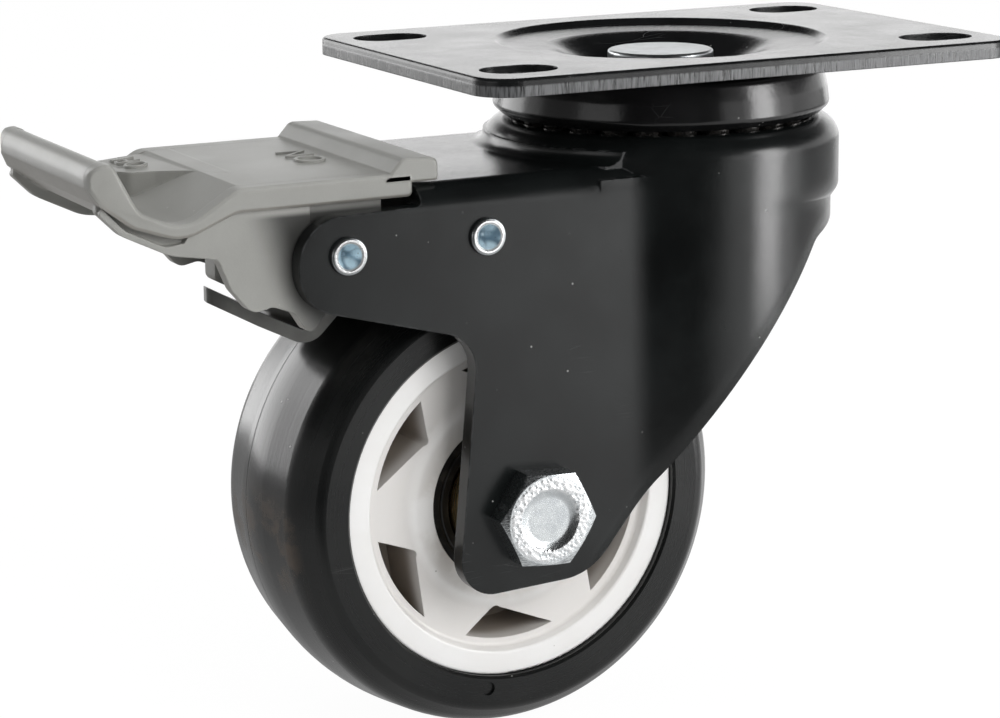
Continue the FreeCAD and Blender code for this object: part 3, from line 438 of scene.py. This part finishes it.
# %% [markdown]
# Two rows of hardened balls carry the fork under the plate. They run in grease, which is dark and
# wet, so most of each ball is a dull film and only its clean patches shine.

# %% Balls
def greasy_balls():
    finish = Finish("greased balls")
    spot = finish.place()
    film = finish.noise(spot, 0.9, 4.0).step(0.45, 0.65)
    base = finish.tint(film, (0.12, 0.115, 0.11), (0.02, 0.018, 0.015))
    bump = finish.relief(finish.noise(spot, 1.6, 3.0), 0.08)
    return finish.surface(Base_Color=base, Metallic=0.9 - film * 0.7, Roughness=0.18 + film * 0.25,
                          Coat_Weight=0.25, Coat_Roughness=0.1, Normal=bump)


finishes["upper_balls"] = finishes["lower_balls"] = greasy_balls()
print("balls ready")

# %% [markdown]
# The tyre is a moulded dark polyurethane. It is smoother than rubber, so its rounded shoulder
# carries a broad soft highlight. Rolling has left faint rings and, at the front, a brown smear,
# and the mould's halves have left a fine seam round the tread.

# %% Tyre
SEAM_Y = 2.0
SMEAR = (-70.3, -72.0)


def tyre():
    finish = Finish("moulded tyre")
    spot = finish.place()
    radius, turn, y = around_axle(finish, spot)
    x, _, z = finish.xyz(spot)
    rings = finish.noise(finish.join(radius * 2.2, y * 2.2, turn * 3.0), 1.0, 4.0)
    cloud = finish.noise(spot, 0.06, 4.0)
    grain = finish.noise(spot, 3.0, 2.0)
    face = radius.step(34.5, 36.5)
    scuff = scratches(finish, spot, 0.5, 0.4)
    dots = specks(finish, spot, 0.15)
    base = finish.tint(cloud.step(0.3, 0.75), (0.0045, 0.0050, 0.0050), (0.0090, 0.0095, 0.0092))
    dx, dz = x - SMEAR[0], z - SMEAR[1]
    smear = (dx * dx * 0.012 + dz * dz * 0.010 + y.math("ABSOLUTE") * 0.02).step(1.1, 0.2)
    smear = smear * finish.noise(spot, 0.22, 4.0).step(0.40, 0.68) * face
    base = finish.tint(smear * 0.8, base, (0.085, 0.058, 0.038))
    base = finish.tint(scuff, base, (0.06, 0.06, 0.06))
    base = finish.tint(dots * 0.8, base, (0.55, 0.55, 0.53))
    rough = 0.28 - face * 0.07 + (rings - 0.5) * 0.12 + (cloud - 0.5) * 0.1 + smear * 0.15
    seam = (y - SEAM_Y).math("ABSOLUTE").step(0.22, 0.05) * radius.step(35.5, 36.2)
    bump = finish.relief(grain * 0.5 + rings * 0.6 - seam * 7.0, 0.018)
    return finish.surface(Base_Color=base, Roughness=rough, Normal=bump, IOR=1.46)


finishes["tread"] = tyre()
print("tyre ready")

# %% [markdown]
# The wheel's centre is off-white plastic and stays clean on the raised rim. Just below the rim's face
# it is painted a little greyer, and deep in its pockets a dark warm brown, both painted shade that
# follows the depth below the rim's face; round the hub it is greyer in patches, by the distance from the
# axle.

# %% Wheel centre
RIM_FACE = 14.8


def wheel_centre():
    finish = Finish("centre plastic")
    spot = finish.place()
    radius, _, y = around_axle(finish, spot)
    depth = RIM_FACE - y.math("ABSOLUTE")
    cloud = finish.noise(spot, 0.12, 5.0)
    grain = finish.noise(spot, 2.6, 2.0)
    painted_pocket_shade = depth.step(2.6, 7.0)
    hub = radius.step(17.5, 13.5) * cloud.step(0.42, 0.62)
    dots = specks(finish, spot, 0.18)
    base = finish.tint(cloud.step(0.3, 0.7), (0.91, 0.905, 0.895), (0.88, 0.87, 0.855))
    # Painted shade: greyer just below the rim's face and dark warm brown deep in the pockets.
    base = finish.tint(depth.step(0.8, 2.2) * radius.step(24.6, 23.8) * 0.8, base, (0.68, 0.655, 0.63))
    base = finish.tint(painted_pocket_shade * 0.8, base, (0.30, 0.25, 0.20))
    base = finish.tint(hub * 0.35, base, (0.42, 0.38, 0.33))
    base = finish.tint(dots * 0.7, base, (0.25, 0.23, 0.2))
    bump = finish.relief(grain * 0.6 + cloud, 0.02, 1.0, finish.soft_edges(0.2))
    return finish.surface(Base_Color=base, Roughness=0.42 + (cloud - 0.5) * 0.2, Normal=bump, IOR=1.46)


finishes["wheel_core"] = wheel_centre()
print("wheel centre ready")

# %% [markdown]
# Black washers seal the hub. They rub as the wheel turns, so their noise is written in distance
# and turn about the axle, which draws it out into rings, and a little dust lies in patches.

# %% Seals
def seal_black():
    finish = Finish("seal")
    spot = finish.place()
    radius, turn, _ = around_axle(finish, spot)
    rings = finish.noise(finish.join(radius * 5.0, turn * 4.0, 0.0), 1.0, 2.0)
    dust = finish.noise(spot, 0.5, 4.0).step(0.5, 0.7)
    base = finish.tint(dust * 0.3, (0.011, 0.011, 0.011), (0.09, 0.08, 0.07))
    return finish.surface(Base_Color=base, Roughness=0.34 + (rings - 0.5) * 0.2,
                          Normal=finish.relief(rings, 0.03, 1.0, finish.soft_edges(0.1)))


finishes["dust_seals"] = seal_black()
print("seals ready")

# %% [markdown]
# The pedal is moulded grey plastic with a fine satin skin. Shoes have rubbed its outer rim paler,
# and dust sits along the rim's lower edge. Its upward faces are painted paler as painted light from
# above, its undersides darker and warmer as painted shade, and beside the fork's arm, where the ribs run
# into a narrow gap, the colour is a painted shadow that goes almost black.

# %% Pedal plastic
def pedal_plastic():
    finish = Finish("pedal plastic")
    spot = finish.place()
    x, y, z = finish.xyz(spot)
    _, ny, nz = finish.facing()
    cloud = finish.noise(spot, 0.10, 5.0)
    grain = finish.noise(spot, 3.5, 2.0)
    edge = finish.edge_mask(0.7) * finish.noise(spot, 0.5, 3.0).step(0.35, 0.6)
    under = nz.step(0.1, -0.6)
    scuff = scratches(finish, spot, 0.5, 0.9)
    low_rim = z.step(-18.6, -17.4) * z.step(-14.4, -15.6) * y.step(-20.6, -21.2)
    dots = specks(finish, spot, 0.2, 0.2) * (0.3 + low_rim * 0.7)
    base = finish.tint(cloud.step(0.3, 0.7), (0.320, 0.320, 0.302), (0.285, 0.285, 0.268))
    # Painted shade: faces that point downward are coloured darker and warmer.
    base = finish.tint(under * 0.35, base, (0.27, 0.235, 0.20))
    # Painted light: faces that point upward are coloured paler, as if lit from above.
    base = finish.tint(nz.step(0.5, 0.9) * 0.7, base, (0.395, 0.395, 0.375))
    base = finish.tint(edge * 0.5, base, (0.47, 0.46, 0.43))
    base = finish.tint(scuff * 0.5, base, (0.47, 0.47, 0.45))
    # Painted shadow of the fork's arm: the ribs beside it are coloured almost black towards it.
    painted_arm_shade = (x + (z + 25.0) * 0.35).step(-78.0, -70.5) * z.step(-18.2, -19.2) * ny.step(-0.5, -0.9)
    base = finish.tint(painted_arm_shade * 0.92, base, (0.018, 0.018, 0.017))
    base = finish.tint(dots, base, (0.80, 0.80, 0.77))
    rough = 0.40 + (cloud - 0.5) * 0.15 + (grain - 0.5) * 0.06
    bump = finish.relief(grain * 0.5 + cloud * 0.8, 0.022, 1.0, finish.soft_edges(0.4))
    return finish.surface(Base_Color=base, Roughness=rough, Normal=bump, IOR=1.48)


finishes["brake_pedal"] = pedal_skin = pedal_plastic()
print("pedal skin ready")

# %% [markdown]
# Each CAD node keeps its mesh and its place, and only its material slot is filled.

# %% Paint the CAD nodes
for name, node in nodes.items():
    node.data.materials.clear()
    node.data.materials.append(finishes[name])
print("finished nodes:", sorted(nodes))

# %% [markdown]
# The pedal is built again as one moulding of flat layers, because its lip, the crescents under
# its toe and the shelf for the release lettering need thinner walls than the CAD solid has. An
# outline is written as a few corners with radii, as on a drawing, and rounded here.

# %% Rounded outlines
def rounded(corners, least=0.02, steps=7):
    """Replaces each corner (a, b, radius) by an arc: its centre lies on the corner's bisector, at the
    radius over the sine of half the angle, and the arc turns from one tangent point to the other.
    No radius is under the least one, and the outline comes out anticlockwise."""
    corners = np.array(corners, float)
    spots, radii = corners[:, :2], np.maximum(corners[:, 2], least)[:, None]
    back, ahead = np.roll(spots, 1, 0) - spots, np.roll(spots, -1, 0) - spots
    back /= np.linalg.norm(back, axis=1, keepdims=True)
    ahead /= np.linalg.norm(ahead, axis=1, keepdims=True)
    half = np.arccos(np.clip((back * ahead).sum(1, keepdims=True), -1, 1)) / 2
    middle = (back + ahead) / np.linalg.norm(back + ahead, axis=1, keepdims=True)
    centre = spots + middle * radii / np.sin(half)
    first = spots + back * radii / np.tan(half) - centre
    last = spots + ahead * radii / np.tan(half) - centre
    sweep = (np.pi - 2 * half)[:, None, :]
    share = np.linspace(0, 1, steps)[None, :, None]
    arcs = np.sin((1 - share) * sweep) * first[:, None] + np.sin(share * sweep) * last[:, None]
    points = (centre[:, None] + arcs / np.sin(sweep)).reshape(-1, 2)
    a, b = points.T
    area = (a * np.roll(b, -1) - b * np.roll(a, -1)).sum()
    return points if area > 0 else points[::-1]


print("a square rounded:", rounded([(0, 0, 1), (4, 0, 1), (4, 4, 1), (0, 4, 1)]).shape, "points")

# %% [markdown]
# The rivet passes through the ribs. A face in a mesh can't have a hole, so the outline runs in
# along a hair-thin slit, round the bore and out again.

# %% Bores
def with_bore(outline, centre, radius, steps=28):
    """The bore is a circle of points (centre + radius times cosine and sine of the angle), walked
    against the outline's sense and joined to it at the outline's nearest point."""
    centre = np.array(centre, float)
    nearest = int(np.argmin(np.linalg.norm(outline - centre, axis=1)))
    out = outline[nearest] - centre
    angle = math.atan2(out[1], out[0]) - np.linspace(0.004, 2 * math.pi - 0.004, steps)
    ring = centre + radius * np.column_stack([np.cos(angle), np.sin(angle)])
    ahead = outline[(nearest + 1) % len(outline)] - outline[nearest]
    again = outline[nearest] + ahead / np.linalg.norm(ahead) * 0.01
    return np.vstack([outline[:nearest + 1], ring, again[None], outline[nearest + 1:]])


print("bores ready")

# %% [markdown]
# A layer is an outline with a thickness across the castor. Bands of four-sided faces join its
# rings of points and one face closes each end, so every layer is watertight by itself, and the
# moulding is several of them pushed into one another.

# %% Layers
def layer(outline, low, high, high_chamfer=0.0, low_chamfer=0.0):
    """The outline (x, z) thickened from y = low to y = high. A chamfer moves the end's ring inward
    along the outline's normals, each at right angles to the line between a point's neighbours."""
    along = np.roll(outline, -1, 0) - np.roll(outline, 1, 0)
    along /= np.linalg.norm(along, axis=1, keepdims=True)
    outward = np.column_stack([along[:, 1], -along[:, 0]])
    rings = [(low, low_chamfer), (low + low_chamfer, 0), (high - high_chamfer, 0), (high, high_chamfer)]
    rings = rings[0 if low_chamfer else 1:4 if high_chamfer else 3]
    points = np.vstack([np.insert(outline - outward * inset, 1, y, axis=1) for y, inset in rings])
    count, last = len(outline), len(rings) - 1
    here = np.arange(count)
    there = np.roll(here, -1)
    band = np.column_stack([here, there, there + count, here + count])
    bands = np.vstack([band + count * k for k in range(last)])
    return points, (bands, here[None, ::-1], here[None] + count * last)


def mirrored(part):
    """The same layer on the castor's other side: y changes sign."""
    points, faces = part
    return points * (1, -1, 1), faces


def body_mesh(name, parts, body, material, sharp=34.0):
    """Joins closed layers, given in millimetres, into one piece that rides on a body."""
    faces, start = [], 0
    for points, blocks in parts:
        faces += [face for block in blocks for face in (block + start).tolist()]
        start += len(points)
    mesh = bpy.data.meshes.new(name)
    mesh.from_pydata((np.vstack([points for points, blocks in parts]) * MM).tolist(), [], faces)
    work = bmesh.new()
    work.from_mesh(mesh)
    bmesh.ops.recalc_face_normals(work, faces=work.faces)
    work.to_mesh(mesh)
    work.free()
    mesh.shade_smooth()
    mesh.set_sharp_from_angle(angle=math.radians(sharp))
    mesh.materials.append(material)
    made = bpy.data.objects.new(name, mesh)
    scene.collection.objects.link(made)
    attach(made, body)
    return made


print("layers ready")

# %% [markdown]
# From the side, the pedal's skin is a flat deck that dips into a scoop for the toe and rises to a
# lip. At each side the same skin continues as a thicker rim, whose scoop is shallower, and behind
# them a hump crosses the deck to stop the shoe.

# %% Deck, rims and hump
DECK_TOP, DECK_BOTTOM, DECK_REAR = -14.1, -17.6, -53.2
HALF, RIM, OVERLAP = 21.3, 3.0, 0.1
RIM_CHAMFER, HUMP_CHAMFER = 0.45, 0.35
under_skin = [(-102.4, -9.4, 2.2), (-102.3, -12.6, 0.8), (-100.9, -15.0, 0.8), (-96.5, -18.4, 6),
              (-88.9, -21.0, 7), (-80.6, DECK_BOTTOM, 5), (DECK_REAR, DECK_BOTTOM, 0.8)]
rim_side = [(DECK_REAR, DECK_TOP, 0), (-80.3, DECK_TOP, 4), (-88.6, -19.3, 6), (-95.2, -16.4, 4),
            (-99.0, -9.0, 1.3)] + under_skin
scoop_side = [(DECK_REAR, DECK_TOP, 0), (-79.6, DECK_TOP, 0.5), (-88.6, -19.8, 6.5), (-95.4, -16.9, 4),
              (-98.3, -11.6, 0.8), (-99.0, -9.0, 1.3)] + under_skin
hump_side = [(-57.8, -14.6, 0), (-56.8, DECK_TOP, 0.6), (-54.8, -11.9, 1.6), (-49.1, -12.1, 1.2),
             (-49.1, -15.5, 0.4), (-57.8, -15.5, 0)]
scoop = layer(rounded(scoop_side), RIM - HALF - OVERLAP, HALF - RIM + OVERLAP)
rim = layer(rounded(rim_side, 0.6), HALF - RIM, HALF, RIM_CHAMFER)
hump = layer(rounded(hump_side, 0.45), -HALF, HALF, HUMP_CHAMFER, HUMP_CHAMFER)
pedal_parts = [scoop, rim, mirrored(rim), hump]
print("skin:", sum(len(points) for points, faces in pedal_parts), "points")

# %% [markdown]
# Under the skin, two ribs carry the pivot and end in cams that press the leaf. Each rib is two
# layers: the inner one is whole, and the outer one leaves out a crescent under the toe and a
# relief beside the fork's arm, so both show as shallow steps. The far cams lie further back.

# %% Ribs, middle cam and tube
PIVOT, BORE, TUBE = RIVETS[0], 2.45, 4.6
RIB_FACE, RIB_STEP, RIB_BACK = 20.2, 1.2, 2.4
FAR_SETBACK = 3.2
bead = [(-101.0, -16.2, 0.6), (-97.6, -19.6, 5), (-90.6, -23.0, 8)]
tail = [(-83.4, -24.2, 1.2), (-81.4, -29.0, 3), (-78.4, -32.6, 2.0), (-75.2, -31.9, 2),
        (-71.9, -33.2, 2), (-69.5, -37.0, 1.2), (-66.4, -33.0, 2), (-60.2, -29.8, 3.5)]
whole_top = [(-57.4, -16.6, 0), (-80.6, -16.6, 0), (-88.9, -20.0, 4), (-96.5, -17.4, 4), (-100.9, -14.4, 0)]
whole_rear = [(-57.4, -21.0, 3)]
open_top = [(-69.1, -16.6, 0), (-80.6, -16.6, 0), (-87.4, -19.9, 0), (-88.4, -21.4, 0.2),
            (-91.2, -21.7, 3), (-97.2, -18.8, 4), (-100.4, -15.4, 0)]
open_rear = [(-57.4, -21.4, 0), (-69.1, -21.4, 0.8)]
middle_cam = [(-57.4, -16.6, 0), (-76.9, -16.6, 0), (-76.9, -31.1, 1.2), (-64.0, -37.8, 1.2),
              (-63.0, -33.4, 2), (-60.2, -29.8, 3.5), (-57.4, -21.0, 3)]


def rib_layers(setback):
    """A rib's inner and outer layer, with its cams moved back by that many millimetres."""
    cams = [(x + setback, z, radius) for x, z, radius in tail]
    inner = with_bore(rounded(whole_top + bead + cams + whole_rear), PIVOT, BORE)
    outer = with_bore(rounded(open_top + bead + cams + open_rear), PIVOT, BORE)
    return [layer(inner, RIB_FACE - RIB_BACK, RIB_FACE - RIB_STEP + 0.05),
            layer(outer, RIB_FACE - RIB_STEP, RIB_FACE)]


angle = np.linspace(0, 2 * math.pi, 48, endpoint=False)
tube = np.array(PIVOT) + TUBE * np.column_stack([np.cos(angle), np.sin(angle)])
pedal_parts += [layer(with_bore(rounded(middle_cam), PIVOT, BORE), -2.0, 2.0),
                layer(with_bore(tube, PIVOT, BORE), 0.2 - RIB_FACE, RIB_FACE - 0.2)]
pedal_parts += rib_layers(FAR_SETBACK) + [mirrored(part) for part in rib_layers(0.0)]
print("moulding:", len(pedal_parts), "layers")

# %% [markdown]
# The lip's two front corners are round in plan. Every point near them moves sideways onto that
# quarter circle, so the layers stay closed.

# %% Lip corners
CORNER, LIP_X = 3.0, -102.4
for points, faces in pedal_parts[:3]:
    into = np.clip(LIP_X + CORNER - points[:, 0], 0, CORNER)
    reach = HALF - CORNER + np.sqrt(CORNER ** 2 - into ** 2)
    points[:, 1] = np.clip(points[:, 1], -reach, reach)
print("corner radius:", CORNER, "mm")

# %% [markdown]
# The release lettering stands on a shelf that bridges part of the scoop. It is one more layer,
# laid flat: its outline is a plan, its top slopes gently down towards the lip and its foot
# follows the scoop's floor, just inside it.

# %% Release shelf
def shelf_top(x):
    """The shelf's height: a straight line from its end near the lip up to just under the deck."""
    return np.interp(x, (-89.6, -79.0), (-15.2, -14.16))


plan = rounded([(-76, -7, 0), (-78.1, -6, 1), (-80.8, -1, 3), (-84.1, 2.5, 3), (-87.3, 5, 3), (-89.3, 10, 3),
                (-89.6, 18.4, 0), (-76, 18.4, 0)])
shelf, shelf_faces = layer(plan, 0.0, 1.0)
shelf = shelf[:, [0, 2, 1]]
foot = np.interp(shelf[:, 0], (-95.4, -88.6, -79.6, -76.0), (-17.2, -20.1, -14.7, -15.0))
shelf[:, 2] = np.where(shelf[:, 2] > 0.5, shelf_top(shelf[:, 0]), foot)
pedal_parts.append((shelf, shelf_faces))
pedal = body_mesh("pedal_moulding", pedal_parts, "pedal", pedal_skin)
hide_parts("brake_pedal")
print("pedal:", len(pedal.data.vertices), "points,", len(pedal.data.polygons), "faces")

# %% [markdown]
# ON and OFF stand a third of a millimetre proud of the deck and of the shelf. The text becomes a
# mesh first, and its points are then turned so that the letters read from behind the castor.

# %% Raised letters
CAPITAL = 0.73    # a capital's height as a share of the font's size
PROUD, SUNK = 0.35, 0.15


def raised_word(name, word, centre, height, base):
    """Letters whose tops point to -X and which read towards +Y, on the surface z = base(x)."""
    curve = bpy.data.curves.new(name + " text", "FONT")
    curve.body, curve.size, curve.extrude = word, height / CAPITAL, 0.5
    curve.align_x, curve.space_character, curve.offset = "CENTER", 1.08, -0.05
    holder = bpy.data.objects.new(name + " text", curve)
    scene.collection.objects.link(holder)
    mesh = bpy.data.meshes.new_from_object(holder.evaluated_get(bpy.context.evaluated_depsgraph_get()))
    flat = np.empty(len(mesh.vertices) * 3)
    mesh.vertices.foreach_get("co", flat)
    flat = flat.reshape(-1, 3)
    x = centre[0] + height / 2 - flat[:, 1]
    z = base(x) + np.where(flat[:, 2] > 0, PROUD, -SUNK)
    placed = np.column_stack([x, centre[1] + flat[:, 0], z])
    mesh.vertices.foreach_set("co", (placed * MM).ravel())
    mesh.update()
    mesh.materials.clear()
    mesh.materials.append(pedal_skin)
    bpy.data.objects.remove(holder)
    made = bpy.data.objects.new(name, mesh)
    scene.collection.objects.link(made)
    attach(made, "pedal")
    return made


raised_word("word_on", "ON", (-61.9, -0.4), 5.0, lambda x: np.full_like(x, DECK_TOP))
raised_word("word_off", "OFF", (-84.9, 11.6), 3.8, shelf_top)
print("letters stand", PROUD, "mm proud")

# %% [markdown]
# The castor stands on a white sheet. To the camera the sheet is plain white, because it glows there
# by itself. In reflections it glows too, but dimmer towards and under the pedal's end, a painted
# shadow. Towards everything else it is only lit paint, a softer bounce, and a small part of it is always lit
# paint, so it keeps the soft shadow.

# %% Floor
CAMERA_WHITE = 1.045


def flat_card(name, corners, material):
    mesh = bpy.data.meshes.new(name)
    mesh.from_pydata([tuple(corner) for corner in corners], [], [(0, 1, 2, 3)])
    made = bpy.data.objects.new(name, mesh)
    scene.collection.objects.link(made)
    made.data.materials.append(material)
    return made


def white_floor():
    finish = Finish("floor white")
    seen, mirroring, through = [finish.node("ShaderNodeLightPath", out=ray)
                                for ray in ("Is Camera Ray", "Is Glossy Ray", "Is Transmission Ray")]
    x = finish.xyz(finish.place())[0]
    # Painted shadow: the glow that reflections see dims towards the pedal's end.
    glow_with_painted_shadow = 0.50 + x.step(-60.0, 100.0) * 0.68
    shown = (seen + mirroring + through).math("MINIMUM", 1.0)
    radiance = seen * CAMERA_WHITE + (1.0 - seen) * glow_with_painted_shadow
    cloud = finish.noise(finish.place(), 0.01, 2.0)
    paint = finish.tint(cloud, (0.80, 0.80, 0.80), (0.78, 0.78, 0.78))
    lit = finish.node("ShaderNodeBsdfDiffuse", {}, {"Color": paint})
    glow = finish.node("ShaderNodeEmission", {}, {"Color": (1.0, 1.0, 1.0, 1.0), "Strength": radiance})
    shade = finish.node("ShaderNodeMixShader", {}, {0: shown * 0.93, 1: lit, 2: glow})
    finish.node("ShaderNodeOutputMaterial", {}, {"Surface": shade})
    return finish.material


floor_z = cad_box[0][2]
flat_card("floor", [(-6, -6, floor_z), (6, -6, floor_z), (6, 6, floor_z), (-6, 6, floor_z)], white_floor())
print("floor at", round(floor_z, 4), "m")

# %% [markdown]
# Black gloss shows only what stands round it, as in any product studio. Upright cards give each
# surface its tone: dark ones in front keep the cheeks black, a narrow bright one draws the line
# down the fork's round back, and wide bright ones behind whiten the plate, the web and the
# tread's left side. They show only in mirrors, so they neither light nor shade anything.

# %% Mirror cards
def mirror_card(name, start, end, low, high, radiance):
    """An upright card between two points of the floor plan, from its low to its high edge."""
    finish = Finish(name + " paint")
    glow = finish.node("ShaderNodeEmission", {}, {"Color": (1.0, 1.0, 1.0, 1.0), "Strength": radiance})
    finish.node("ShaderNodeOutputMaterial", {}, {"Surface": glow})
    corners = [(*start, low), (*end, low), (*end, high), (*start, high)]
    card = flat_card(name, corners, finish.material)
    for ray in ("camera", "diffuse", "shadow", "transmission"):
        setattr(card, "visible_" + ray, False)


CARDS = (("front_dark", (-0.45, -0.35), (0.07, -0.35), floor_z, 0.40, 0.02),
         ("near_dark", (-0.30, -0.20), (0.0, -0.20), floor_z, 0.05, 0.02),
         ("bolt_dark", (-0.25, -0.10), (-0.062, -0.10), floor_z, -0.02, 0.05),
         ("tyre_grey", (-0.22, 0.12), (-0.22, -0.15), floor_z, -0.02, 0.35),
         ("cup_grey", (-0.50, 0.25), (-0.50, -0.05), -0.05, 0.10, 0.30),
         ("strip_glow", (0.183, -0.275), (0.256, -0.208), floor_z, 0.12, 11.0),
         ("strip_side", (0.256, -0.208), (0.300, -0.130), floor_z, 0.06, 2.0),
         ("back_glow", (0.90, 0.42), (-0.09, 1.00), -0.10, 0.235, 1.85),
         ("right_grey", (0.36, -0.28), (0.42, 0.22), floor_z, -0.03, 0.40),
         ("left_glow", (-0.57, 0.56), (-0.174, 0.743), floor_z, 0.35, 4.2))
for card in CARDS:
    mirror_card(*card)
print("mirror cards:", len(CARDS))

# %% [markdown]
# Beyond the cards is an even white room. The camera sees it plain white and matt surfaces get a
# dimmer, even light from it. Mirrors see it white only near the horizon and dark overhead, which
# keeps the black steel's rounded shoulders black.

# %% Sky
ON_MATT = 0.40
world = bpy.data.worlds.new("studio")
scene.world = world
world.use_nodes = True
sky = Finish("sky", world.node_tree)
seen = sky.node("ShaderNodeLightPath", out="Is Camera Ray")
mirroring = sky.node("ShaderNodeLightPath", out="Is Glossy Ray")
height = sky.xyz(sky.node("ShaderNodeTexCoord", out="Generated"))[2]
in_mirrors = 0.02 + height.step(0.45, 0.27) * 0.10 + height.step(0.28, 0.22) * 1.03
strength = seen + (1.0 - seen) * (mirroring * in_mirrors + (1.0 - mirroring) * ON_MATT)
glow = sky.node("ShaderNodeBackground", {}, {"Color": (1.0, 1.0, 1.0, 1.0), "Strength": strength})
sky.node("ShaderNodeOutputWorld", {}, {"Surface": glow})
print("sky gives", ON_MATT, "to matt surfaces")

# %% [markdown]
# Two soft boxes light the matt surfaces: a wide weak one overhead for the pedal's top, and a
# stronger one in front for the wheel's centre and the sides. A box's power is its radiance times
# pi and its area, so its size can change and its brightness stays.

# %% Lamps
AIM = (-0.02, 0.0, -0.05)


def soft_box(name, place, size, radiance):
    """A rectangular lamp of even radiance that faces the castor and stays out of mirrors."""
    lamp = bpy.data.lights.new(name, "AREA")
    lamp.shape = "RECTANGLE"
    lamp.size, lamp.size_y = size
    lamp.energy = radiance * math.pi * size[0] * size[1]
    made = bpy.data.objects.new(name, lamp)
    scene.collection.objects.link(made)
    made.location = place
    made.rotation_euler = (Vector(AIM) - Vector(place)).to_track_quat("-Z", "Y").to_euler()
    made.visible_camera = False
    made.visible_glossy = False
    print(name, round(lamp.energy, 2), "W")


soft_box("top_box", (-0.10, 0.10, 0.90), (0.80, 0.80), 0.9)
soft_box("front_box", (0.18, -0.85, 0.34), (0.70, 0.60), 4.6)
